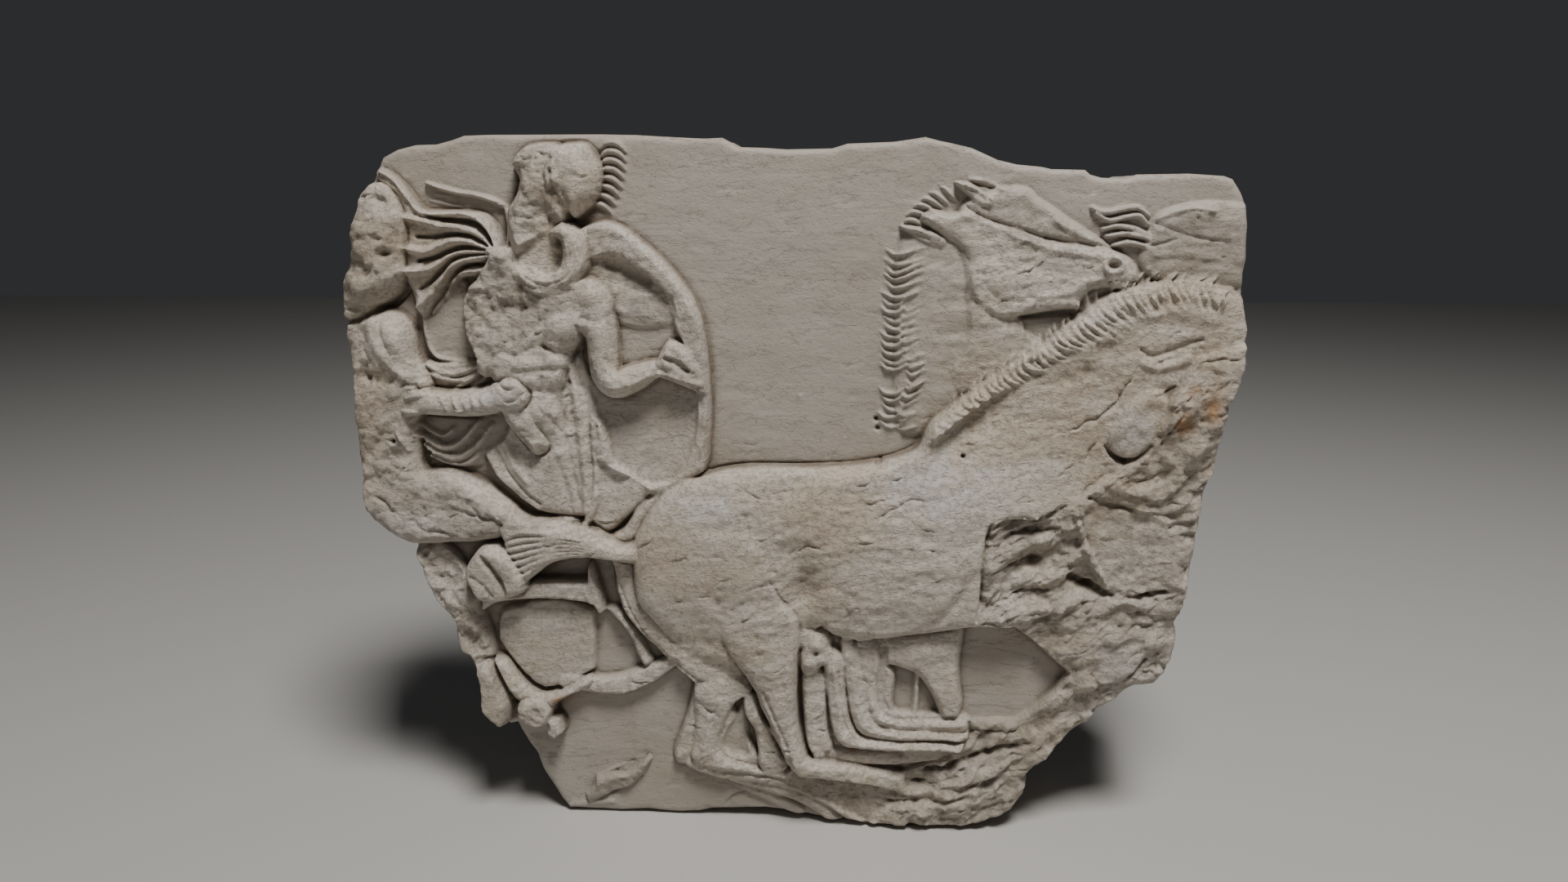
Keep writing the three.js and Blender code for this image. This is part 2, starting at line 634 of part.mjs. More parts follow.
function circleHolds([a, b, c], p) {
  const [ax, ay, bx, by, cx, cy] = [a, b, c].flatMap((q) => [q[0] - p[0], q[1] - p[1]]);
  return (ax * ax + ay * ay) * (bx * cy - cx * by) - (bx * bx + by * by) * (ax * cy - cx * ay)
    + (cx * cx + cy * cy) * (ax * by - bx * ay) > 0;
}

// A closed block of which the front is the carved face, larger than the slab all round
function carvedBlock(face) {
  const positions = [];
  const last = face.size - 1;
  const front = ([i, k]) => [face.x(i) * across, -groundThickness - face.height[k * face.size + i],
    face.z(k) * upward];
  const back = ([i, k]) => [face.x(i) * across, 0, face.z(k) * upward];
  const middle = [0, 0, 0];
  const onEdge = ([i, k], [m, n]) => (i === m && (i === 0 || i === last))
    || (k === n && (k === 0 || k === last));
  for (const ring of new FacetNet(face).triangles()) {
    positions.push(...ring.flatMap(front));
    ring.forEach((p, n) => {
      const q = ring[(n + 1) % 3];
      if (onEdge(p, q)) {
        positions.push(...front(q), ...front(p), ...back(p));
        positions.push(...front(q), ...back(p), ...back(q));
        positions.push(...back(q), ...back(p), ...middle);
      }
    });
  }
  return geometryOf(positions);
}

// How much further out the side of the slab lies at the back than at the front
function flareAt(x, z) {
  const low = smoothStep((-20 - z) / 60) * smoothStep((z + 470) / 40);
  return sideFlare + (breakFlare - sideFlare) * low;
}

// A prism round the slab's outline that widens to the back along the breaks
function outlinePrism() {
  const depth = groundThickness + 2 * Math.max(forearmRelief, helmetRelief);
  const outline = slabOutline.map(([x, z]) => [x * across, z * upward]);
  const points = outline.map(([x, z], n) => {
    const before = outline[(n + outline.length - 1) % outline.length];
    const after = outline[(n + 1) % outline.length];
    const [ex, ez] = [after[0] - before[0], after[1] - before[1]];
    const flare = flareAt(...slabOutline[n]) / Math.hypot(ex, ez);
    return { x, z, outX: -ez * flare, outZ: ex * flare };
  });
  const ring = (share) => points.map((p) => [p.x + p.outX * share, p.z + p.outZ * share]);
  // At the ground the ring is the outline itself, so the front end is a little smaller
  const [frontRing, backRing] = [ring(-(depth - groundThickness) / groundThickness), ring(1)];
  const positions = [];
  const put = (ringPoints, n, y) => [ringPoints[n][0], y, ringPoints[n][1]];
  for (let n = 0; n < points.length; n += 1) {
    const m = (n + 1) % points.length;
    positions.push(...put(frontRing, n, -depth), ...put(frontRing, m, -depth), ...put(backRing, m, 0));
    positions.push(...put(frontRing, n, -depth), ...put(backRing, m, 0), ...put(backRing, n, 0));
  }
  const cap = (ringPoints, y, facing) => {
    const flat = ringPoints.map(([x, z]) => new THREE.Vector2(x, z));
    for (const corners of THREE.ShapeUtils.triangulateShape(flat, [])) {
      const turned = turnOf(...corners.map((n) => ringPoints[n])) * facing < 0;
      const order = turned ? [...corners].reverse() : corners;
      positions.push(...order.flatMap((n) => put(ringPoints, n, y)));
    }
  };
  cap(frontRing, -depth, 1);
  cap(backRing, 0, -1);
  return geometryOf(positions);
}

function geometryOf(positions) {
  const geometry = new THREE.BufferGeometry();
  geometry.setAttribute('position', new THREE.Float32BufferAttribute(positions, 3));
  return BufferGeometryUtils.mergeVertices(geometry);
}

const wasm = await Module();
wasm.setup();

function solidOf(geometry) {
  return new wasm.Manifold(new wasm.Mesh({
    numProp: 3,
    vertProperties: new Float32Array(geometry.attributes.position.array),
    triVerts: new Uint32Array(geometry.index.array),
  }));
}

function geometryOfSolid(solid) {
  const mesh = solid.getMesh();
  const geometry = new THREE.BufferGeometry();
  geometry.setAttribute('position', new THREE.BufferAttribute(mesh.vertProperties, 3));
  geometry.setIndex(new THREE.BufferAttribute(mesh.triVerts, 1));
  return geometry;
}

const face = new CarvedFace();
for (const carve of [carveFarHeads, carveFrontHead, carveUprightMane, carveNearNeck, carveRearHorses,
  carveInnerLegs, carveBreak, carveNearHorse, carveChariot, carveTail, carveShield, carveDress,
  carveWarrior, carveCloak, carveDriver, wearEdges]) {
  carve(face);
}

const slab = solidOf(carvedBlock(face)).intersect(solidOf(outlinePrism()));
const marble = new THREE.MeshStandardMaterial({ color: 0xb9ada0, roughness: 0.62, metalness: 0 });
const relief = new THREE.Mesh(geometryOfSolid(slab), marble);
relief.name = 'relief_slab';

const plaque = new THREE.Group();
plaque.add(relief);
export default plaque;
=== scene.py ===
import math
import bpy
import numpy as np
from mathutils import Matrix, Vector


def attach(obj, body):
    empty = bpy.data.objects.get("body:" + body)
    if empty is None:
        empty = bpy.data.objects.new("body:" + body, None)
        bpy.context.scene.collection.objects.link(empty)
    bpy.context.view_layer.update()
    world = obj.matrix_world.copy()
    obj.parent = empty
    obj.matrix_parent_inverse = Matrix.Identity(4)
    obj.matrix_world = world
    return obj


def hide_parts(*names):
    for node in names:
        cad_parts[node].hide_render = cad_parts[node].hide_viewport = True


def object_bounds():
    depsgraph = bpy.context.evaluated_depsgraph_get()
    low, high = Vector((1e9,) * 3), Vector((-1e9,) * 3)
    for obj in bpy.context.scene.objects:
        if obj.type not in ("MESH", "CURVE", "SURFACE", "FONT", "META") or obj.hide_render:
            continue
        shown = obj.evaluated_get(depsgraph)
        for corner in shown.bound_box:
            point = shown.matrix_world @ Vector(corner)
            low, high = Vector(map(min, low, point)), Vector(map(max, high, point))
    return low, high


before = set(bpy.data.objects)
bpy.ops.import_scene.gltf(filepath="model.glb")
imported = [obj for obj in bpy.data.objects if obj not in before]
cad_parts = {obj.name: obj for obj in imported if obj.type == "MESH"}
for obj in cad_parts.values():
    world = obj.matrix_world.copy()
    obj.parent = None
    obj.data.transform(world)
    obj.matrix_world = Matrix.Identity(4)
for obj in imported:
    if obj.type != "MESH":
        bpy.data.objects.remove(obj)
cad_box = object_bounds()

bl_info = {
    "name": "Marble relief plaque",
    "version": (1, 0, 0),
    "blender": (4, 5, 0),
    "location": "3D View > Sidebar > Relief",
    "description": "Carves a broken marble frieze slab with a horse team, a warrior and a chariot",
    "category": "Object",
}

# The figures are drawn on a sheet with its origin at the slab's middle. Its unit is a millimetre,
# while the frame is in metres. +X runs to the viewer's right, +Z up, and the carving rises to -Y.
SHEET_LENGTH = 1216.0
SHEET_HEIGHT = 992.0
SHEET_MARGIN = 16.0
SHEET_UNIT = 0.001
UNITS_IN_METRE = 1000.0
SLAB_NODE = "relief_slab"
LEAST_TRIANGLES = 50000
MOST_TRIANGLES = 200000


def relief_setting(name, description, default):
    return bpy.props.FloatProperty(name=name, description=description, default=default)


def colour_setting(name, description, default):
    return bpy.props.FloatVectorProperty(
        name=name, description=description, subtype="COLOR", size=3, default=default)


class SlabSettings(bpy.types.PropertyGroup):
    """Sizes of the slab, and how far each form stands out from its ground in sheet units."""

    step: bpy.props.FloatProperty(
        name="Grid step", description="Spacing of the points that are carved", default=1.25, min=0.8)
    triangles: bpy.props.IntProperty(
        name="Triangles", description="Most triangles that the carved slab keeps", default=190000)
    thickness: bpy.props.FloatProperty(
        name="Thickness", description="Flat back to the ground of the relief", default=0.140,
        unit="LENGTH")
    flare: bpy.props.FloatProperty(
        name="Flare of the breaks", description="How much further the lower sides reach at the back",
        default=0.028, unit="LENGTH")
    edge_wear: bpy.props.FloatProperty(
        name="Edge wear", description="How far the face is worn round along its edge", default=9.0)
    near_horse: relief_setting("Near horse", "Relief of the nearest horse", 49.0)
    near_neck: relief_setting("Near neck", "Relief of its neck below the mane", 24.0)
    rear_horse: relief_setting("Rear horses", "Relief of the rumps behind", 27.0)
    rear_leg: relief_setting("Rear legs", "Relief of the hind legs behind", 21.0)
    inner_leg: relief_setting("Inner legs", "Relief of the legs under the belly", 30.0)
    front_head: relief_setting("Front head", "Relief of the nearest raised head", 17.0)
    middle_head: relief_setting("Middle head", "Relief of the head behind it", 12.0)
    far_head: relief_setting("Far head", "Relief of the farthest head", 8.0)
    tail: relief_setting("Tail", "Relief of the flowing tail", 44.0)
    shield: relief_setting("Shield", "Relief of the shield's rim", 28.0)
    dish: relief_setting("Shield dish", "Relief of its hollow inside", 8.0)
    dress: relief_setting("Dress", "Relief of the cloth below the belt", 15.0)
    torso: relief_setting("Torso", "Relief of the warrior's body", 41.0)
    arm: relief_setting("Arm", "Relief of the shield arm", 46.0)
    helmet: relief_setting("Helmet", "Relief of the helmet", 47.0)
    cloak: relief_setting("Cloak", "Relief of the flying cloak", 32.0)
    driver: relief_setting("Driver", "Relief of what is left of the driver", 44.0)
    forearm: relief_setting("Forearm", "Relief of the stretched forearm", 54.0)
    chariot: relief_setting("Chariot", "Relief of the chariot's rail", 30.0)
    wheel: relief_setting("Wheel", "Relief of the wheel's rim", 17.0)
    broken: relief_setting("Broken side", "Relief left at the shattered right side", 34.0)


class StoneSettings(bpy.types.PropertyGroup):
    """Colours of the marble, and the stage round it."""

    pale: colour_setting("Pale", "Clean marble", (0.555, 0.50, 0.435))
    warm: colour_setting("Warm", "Warm brown patina", (0.47, 0.395, 0.31))
    cold: colour_setting("Cold", "Cold grey bloom", (0.575, 0.537, 0.495))
    # Mixed in where the relief is low, so the ground comes out darker and greyer than the figures
    dull: colour_setting("Dull", "Greyer skin of the ground", (0.27, 0.245, 0.215))
    # Dust, and painted shade, in the hollows; this colour also marks the seams, the specks and the
    # darker patches of the breaks
    dust_and_shade: colour_setting("Dirt", "Dust in the hollows", (0.15, 0.115, 0.08))
    rust: colour_setting("Rust", "Orange stains on the breaks", (0.36, 0.20, 0.09))
    roughness: bpy.props.FloatProperty(
        name="Roughness", description="Roughness of the worn face", default=0.62, min=0.0, max=1.0)
    floor: colour_setting("Floor", "Colour of the floor", (0.50, 0.49, 0.475))
    key_power: bpy.props.FloatProperty(
        name="Key light", description="Power of the light above the slab", default=264.0,
        unit="POWER")
    fill_power: bpy.props.FloatProperty(
        name="Fill light", description="Power of the light beside the camera", default=0.9,
        unit="POWER")
    sky: bpy.props.FloatProperty(
        name="Sky", description="Brightness of the even light all round", default=0.034)


# The slab's outline on the sheet, clockwise from the left end of the top
SLAB_OUTLINE = [
    (-588, 360), (-575, 412), (-559, 441), (-545, 470), (-525, 480), (-500, 486), (-470, 487),
    (-450, 492), (-432, 498), (-400, 499), (-250, 499), (-200, 498), (-150, 495), (-110, 493),
    (-85, 494), (-77, 490), (-63, 482), (-30, 481), (0, 479), (60, 480), (80, 486), (140, 488),
    (162, 491), (181, 494), (200, 489), (215, 486), (241, 480), (257, 473), (275, 465), (300, 459),
    (332, 456), (345, 453), (388, 452), (395, 446), (410, 442), (440, 441), (454, 446), (520, 447),
    (565, 444), (576, 440), (587, 424), (594, 408), (598, 381), (600, 340), (598, 320), (600, 280),
    (603, 265), (606, 250), (605, 230), (603, 205), (598, 180), (592, 165), (588, 150), (585, 120),
    (583, 104), (580, 85), (576, 51), (570, 38), (567, 0), (563, -52), (560, -80), (557, -108),
    (553, -148), (545, -163), (549, -176), (547, -200), (545, -215), (539, -235), (532, -250),
    (525, -258), (500, -262), (482, -271), (472, -280), (450, -297), (432, -317), (415, -330),
    (405, -343), (393, -356), (380, -375), (365, -388), (355, -400), (350, -410), (353, -421),
    (350, -435), (342, -447), (334, -461), (320, -472), (298, -479), (285, -484), (262, -491),
    (220, -491), (190, -492), (132, -491), (100, -487), (50, -490), (20, -484), (-30, -478),
    (-60, -480), (-110, -483), (-130, -488), (-170, -491), (-210, -488), (-250, -491), (-330, -490),
    (-342, -475), (-350, -460), (-362, -440), (-370, -425), (-377, -399), (-390, -380), (-400, -362),
    (-404, -351), (-416, -354), (-423, -343), (-435, -330), (-445, -317), (-449, -305), (-449, -282),
    (-452, -265), (-457, -249), (-462, -238), (-477, -230), (-484, -215), (-486, -201), (-484, -185),
    (-488, -175), (-500, -162), (-508, -148), (-515, -130), (-522, -113), (-528, -95), (-535, -75),
    (-560, -60), (-585, -40), (-593, -25), (-600, 5), (-599, 20), (-597, 40), (-602, 60), (-602, 85),
    (-599, 100), (-602, 118), (-599, 140), (-599, 157), (-603, 181), (-602, 200), (-605, 215),
    (-608, 229), (-604, 250), (-606, 275), (-607, 296), (-600, 316), (-590, 343)]


def ease(value):
    """A share held between 0 and 1, with soft ends."""
    t = np.clip(value, 0.0, 1.0)
    return t * t * (3.0 - 2.0 * t)


def curve_through(points, pieces=6, closed=False):
    """A smooth curve through the points, as a finer list of points."""
    p = np.array(points, float)
    count = len(p)
    made = []
    for i in range(count if closed else count - 1):
        if closed:
            a, b, c, d = p[i - 1], p[i], p[(i + 1) % count], p[(i + 2) % count]
        else:
            b, c = p[i], p[i + 1]
            a = p[i - 1] if i > 0 else 2 * b - c
            d = p[i + 2] if i + 2 < count else 2 * c - b
        t = np.linspace(0.0, 1.0, pieces, endpoint=False)[:, None]
        made.append(b + 0.5 * t * (c - a + t * (2 * a - 5 * b + 4 * c - d + t * (3 * (b - c) + d - a))))
    if not closed:
        made.append(p[-1:])
    return np.concatenate(made)


def lattice(x, z, seed):
    """Smooth repeatable noise between -1 and 1."""
    table = np.random.RandomState(seed).uniform(-1.0, 1.0, (64, 64))
    i = np.floor(x).astype(int)
    k = np.floor(z).astype(int)
    s = ease(x - i)
    t = ease(z - k)
    low = table[i % 64, k % 64] * (1 - s) + table[(i + 1) % 64, k % 64] * s
    high = table[i % 64, (k + 1) % 64] * (1 - s) + table[(i + 1) % 64, (k + 1) % 64] * s
    return low * (1 - t) + high * t


def roughness(x, z, size, seed, octaves=4, keep=0.5):
    """Noise of several sizes, each half as wide as the one before."""
    total = 0.0
    weight = 1.0
    whole = 0.0
    for octave in range(octaves):
        turn = 0.6 * octave + 0.3
        scale = 2.0 ** octave / size
        u = (x * math.cos(turn) - z * math.sin(turn)) * scale
        v = (x * math.sin(turn) + z * math.cos(turn)) * scale
        total = total + weight * lattice(u + 17.3 * octave, v + 9.1 * octave, seed + octave)
        whole += weight
        weight *= keep
    return total / whole


class CarvedFace:
    """The height of the carved face above its ground, on a grid over the sheet."""

    def __init__(self, step):
        self.step = step
        reach_x = 0.5 * SHEET_LENGTH + SHEET_MARGIN
        reach_z = 0.5 * SHEET_HEIGHT + SHEET_MARGIN
        self.xs = np.arange(-reach_x, reach_x + 0.5 * step, step)
        self.zs = np.arange(-reach_z, reach_z + 0.5 * step, step)
        self.X, self.Z = np.meshgrid(self.xs, self.zs)
        self.H = np.zeros(self.X.shape)
        self.broken = np.zeros(self.X.shape)

    def window(self, low_x, high_x, low_z, high_z):
        def span(axis, low, high):
            first = int(np.clip((low - axis[0]) // self.step, 0, len(axis)))
            last = int(np.clip((high - axis[0]) // self.step + 2, 0, len(axis)))
            return slice(first, last)
        return span(self.zs, low_z, high_z), span(self.xs, low_x, high_x)

    def depth_inside(self, outline, margin=14.0, sharp=False):
        """How deep each grid point lies inside a closed outline, below 0 outside it."""
        p = np.array(outline, float) if sharp else curve_through(outline, closed=True)
        w = self.window(p[:, 0].min() - margin, p[:, 0].max() + margin,
                        p[:, 1].min() - margin, p[:, 1].max() + margin)
        x, z = self.X[w], self.Z[w]
        best = np.full(x.shape, 1e9)
        inside = np.zeros(x.shape, bool)
        for (ax, az), (bx, bz) in zip(p, np.roll(p, -1, axis=0)):
            ex, ez = bx - ax, bz - az
            length = ex * ex + ez * ez
            if length < 1e-9:
                continue
            t = np.clip(((x - ax) * ex + (z - az) * ez) / length, 0.0, 1.0)
            np.minimum(best, (x - ax - t * ex) ** 2 + (z - az - t * ez) ** 2, out=best)
            if az != bz:
                inside ^= ((az > z) != (bz > z)) & (x < ax + (z - az) * ex / ez)
        away = np.sqrt(best)
        return w, np.where(inside, away, -away)

    def along(self, chain, margin=10.0):
        """For a chain of (x, z, half width, value): the share of the half width, the value, and
        the distance outside it."""
        p = curve_through(chain)
        reach = np.abs(p[:, 2]).max() + margin
        w = self.window(p[:, 0].min() - reach, p[:, 0].max() + reach,
                        p[:, 1].min() - reach, p[:, 1].max() + reach)
        x, z = self.X[w], self.Z[w]
        share = np.full(x.shape, 1e9)
        value = np.zeros(x.shape)
        outside = np.full(x.shape, 1e9)
        for a, b in zip(p[:-1], p[1:]):
            ex, ez = b[0] - a[0], b[1] - a[1]
            length = max(ex * ex + ez * ez, 1e-9)
            t = np.clip(((x - a[0]) * ex + (z - a[1]) * ez) / length, 0.0, 1.0)
            away = np.sqrt((x - a[0] - t * ex) ** 2 + (z - a[1] - t * ez) ** 2)
            half = np.maximum(a[2] + (b[2] - a[2]) * t, 0.5)
            nearer = away / half < share
            share = np.where(nearer, away / half, share)
            value = np.where(nearer, a[3] + (b[3] - a[3]) * t, value)
            np.minimum(outside, away - half, out=outside)
        return w, share, value, outside

    def channel(self, w, outside, depth, goal, width=2.6):
        """A groove round a form, only where its ground lies clearly lower."""
        free = ease((goal - self.H[w] - 3.0) / 9.0)
        self.H[w] -= free * depth * np.exp(-(np.maximum(outside, 0.0) / width) ** 2) * (outside > -width)

    def body(self, outline, relief, edge, cut=2.0, sharp=False, power=0.5, extra=None):
        """A raised form with a rounded edge inside a closed outline."""
        w, depth = self.depth_inside(outline, sharp=sharp)
        goal = relief if extra is None else relief + extra(self.X[w], self.Z[w], depth)
        self.channel(w, -depth, 0.7 * cut, goal)
        t = np.clip(depth / edge, 0.0, 1.0)
        k = np.where(depth > 0, (1 - (1 - t) ** 2) ** power, 0.0)
        self.H[w] += (goal - self.H[w]) * k

    def limb(self, chain, cut=2.0, full=2.2):
        """A rounded limb along a chain of (x, z, half width, relief)."""
        w, share, value, outside = self.along(chain)
        self.channel(w, outside, 0.6 * cut, value)
        k = np.sqrt(np.clip(1 - np.clip(share, 0.0, 1.0) ** full, 0.0, 1.0))
        self.H[w] += np.maximum(value - self.H[w], -4.0) * k

    def roll(self, chain, soft=False):
        """A roll added along a chain of (x, z, half width, height), or a channel below 0."""
        w, share, value, _ = self.along(chain)
        share = np.clip(share, 0.0, 1.0)
        k = (1 - share ** 2) ** 2 if soft else (1 - share ** 2) ** 0.85
        self.H[w] += value * k

    def rolls(self, chains, soft=False):
        for chain in chains:
            self.roll(chain, soft)

    def swell(self, x, z, reach_x, reach_z, rise, turn=0.0):
        """A soft swelling, or a dent below 0."""
        reach = 2 * max(reach_x, reach_z)
        w = self.window(x - reach, x + reach, z - reach, z + reach)
        a = math.radians(turn)
        dx, dz = self.X[w] - x, self.Z[w] - z
        u = (dx * math.cos(a) + dz * math.sin(a)) / reach_x
        v = (dz * math.cos(a) - dx * math.sin(a)) / reach_z
        self.H[w] += rise * np.exp(-1.4 * (u * u + v * v))

    def swells(self, rows):
        for row in rows:
            self.swell(*row)

    def roughen(self, outline, rise, size, seed, feather=8.0):
        """A worn rough surface laid over an area."""
        w, depth = self.depth_inside(outline, sharp=True)
        mask = ease(depth / feather)
        self.H[w] += rise * roughness(self.X[w], self.Z[w], size, seed) * mask
        self.broken[w] = np.maximum(self.broken[w], mask)

    def cleave(self, outline, rise, size, seed, turn=30.0, feather=8.0, stretch=1.5, ledges=0.42):
        """Broken stone: lumps and pits of several sizes, with wandering ledges here and there."""
        w, depth = self.depth_inside(outline, sharp=True)
        mask = ease(depth / feather)
        a = math.radians(turn)
        x, z = self.X[w], self.Z[w]
        along = (x * math.cos(a) + z * math.sin(a)) / stretch
        over = z * math.cos(a) - x * math.sin(a)
        total = 1.6 * roughness(along, over, 1.7 * size, seed, 4, 0.48)
        total = total - 0.5 * ease((roughness(x, z, 0.9 * size, seed + 2, 2) - 0.2) / 0.45)
        for k, (scale, weight) in enumerate(((1.0, 0.9), (0.46, 0.5), (0.24, 0.28))):
            pitch = size * scale
            t = over / pitch + 2.0 * roughness(along, over, 2.6 * pitch, seed + 11 * k + 3, 3)
            share = t - np.floor(t)
            ledge = np.where(share < 0.14, share / 0.14, (1.0 - (share - 0.14) / 0.86) ** 1.3)
            kept = ease(0.3 + 2.0 * roughness(x, z, 2.2 * pitch, seed + 11 * k + 7, 2))
            total = total + ledges * weight * kept * (ledge - 0.35)
        self.H[w] += rise * total * mask
        self.broken[w] = np.maximum(self.broken[w], mask)

    def crack(self, points, width, depth, seed=0):
        """A crack that wanders a little between its points."""
        source = np.random.RandomState(seed)
        p = np.array(points, float)
        for _ in range(3):
            e = p[1:] - p[:-1]
            middle = (p[:-1] + p[1:]) / 2
            middle += np.stack([-e[:, 1], e[:, 0]], 1) * source.uniform(-0.16, 0.16, (len(e), 1))
            finer = np.empty((len(p) + len(middle), 2))
            finer[0::2], finer[1::2] = p, middle
            p = finer
        t = np.clip(np.linspace(0.0, 1.0, len(p)), 0.04, 0.96)
        fade = np.sin(np.pi * t)
        chain = np.stack([p[:, 0], p[:, 1], width * (0.35 + 0.65 * fade), -depth * np.sqrt(fade)], 1)
        w, share, value, _ = self.along(chain)
        self.H[w] += value * (1 - np.clip(share, 0.0, 1.0))

    def cracks(self, chains, width, depth, seed=0):
        """Cracks that wander each in its own way."""
        for k, points in enumerate(chains):
            self.crack(points, width, depth, seed + k)


def at(relief, points):
    """A chain of (x, z, half width) with one relief for all."""
    return [(x, z, half, relief) for x, z, half in points]


def carve_ground(face, size):
    """The ground isn't quite even, and its veins lie level."""
    face.H += 1.1 * roughness(face.X, 2.2 * face.Z, 160, 3)
    face.H += 0.5 * roughness(face.X, 4.5 * face.Z, 46, 5)


def carve_far_head(face, size):
    face.body([
        (478, 392), (492, 403), (512, 409), (540, 413), (566, 412), (600, 408), (626, 380), (626, 340),
        (622, 306), (570, 304), (520, 305), (485, 312), (466, 326), (462, 345), (470, 368)
    ], size.far_head, 14, cut=1.5)
    face.cleave([
        (478, 385), (520, 402), (590, 395), (602, 330), (560, 310), (490, 316), (466, 340)
    ], 2.0, 17, 31, turn=14, feather=10)
    face.rolls([
        at(3.5, [(480, 390, 4), (500, 398, 5), (524, 404, 5), (552, 400, 5)]),
        at(-3.5, [(468, 354, 3), (486, 358, 3), (506, 364, 3)]),
        at(-3, [(480, 384, 3), (502, 376, 4), (534, 366, 4), (572, 360, 4)]),
        at(2.5, [(482, 344, 6), (520, 346, 8), (560, 340, 8)])], soft=True)
    face.swells([(532, 392, 10, 10, 5), (532, 391, 5, 5, -5)])
    locks = [
        [(398, 404, 3), (415, 398, 4), (435, 402, 4), (456, 404, 4), (470, 394, 3)],
        [(402, 397, 3), (420, 388, 4), (440, 392, 4), (458, 394, 4), (470, 383, 3)],
        [(413, 377, 3), (430, 381, 4), (450, 378, 4), (470, 371, 3)],
        [(418, 368, 3), (440, 371, 4), (460, 368, 4), (476, 363, 3)],
        [(428, 356, 3), (445, 360, 4), (462, 357, 4), (478, 351, 3)]]
    for lock in locks:
        face.limb([(x, z, half, 3 + 1.5 * half) for x, z, half in lock], cut=2)


def carve_middle_head(face, size):
    relief = size.middle_head
    face.body([
        (236, 414), (256, 424), (285, 432), (314, 430), (331, 416), (350, 405), (370, 391), (390, 379),
        (410, 366), (428, 353), (440, 342), (420, 332), (300, 335), (240, 360), (226, 395)
    ], relief, 14, cut=2)
    face.cleave([(250, 415), (310, 425), (410, 360), (300, 350)], 1.2, 16, 37, turn=-24, feather=8)
    face.swells([(332, 379, 9, 9, 4), (332, 378, 5, 5, -3.5)])
    face.roll(at(3.5, [(350, 388, 4), (372, 375, 5), (402, 361, 4)]))
    face.roll(at(-2.5, [(338, 366, 3), (362, 360, 3), (396, 350, 3)]))
    face.limb(at(relief + 5, [(222, 436, 2), (236, 430, 7), (250, 420, 9), (264, 411, 7)]), cut=2)
    face.roll(at(-5, [(232, 430, 2), (246, 423, 4), (258, 415, 4)]))
    face.rolls([
        at(4, [(240, 440, 3), (262, 437, 3), (282, 427, 3)]),
        at(-3, [(243, 434, 2), (262, 431, 2), (276, 424, 2)])])


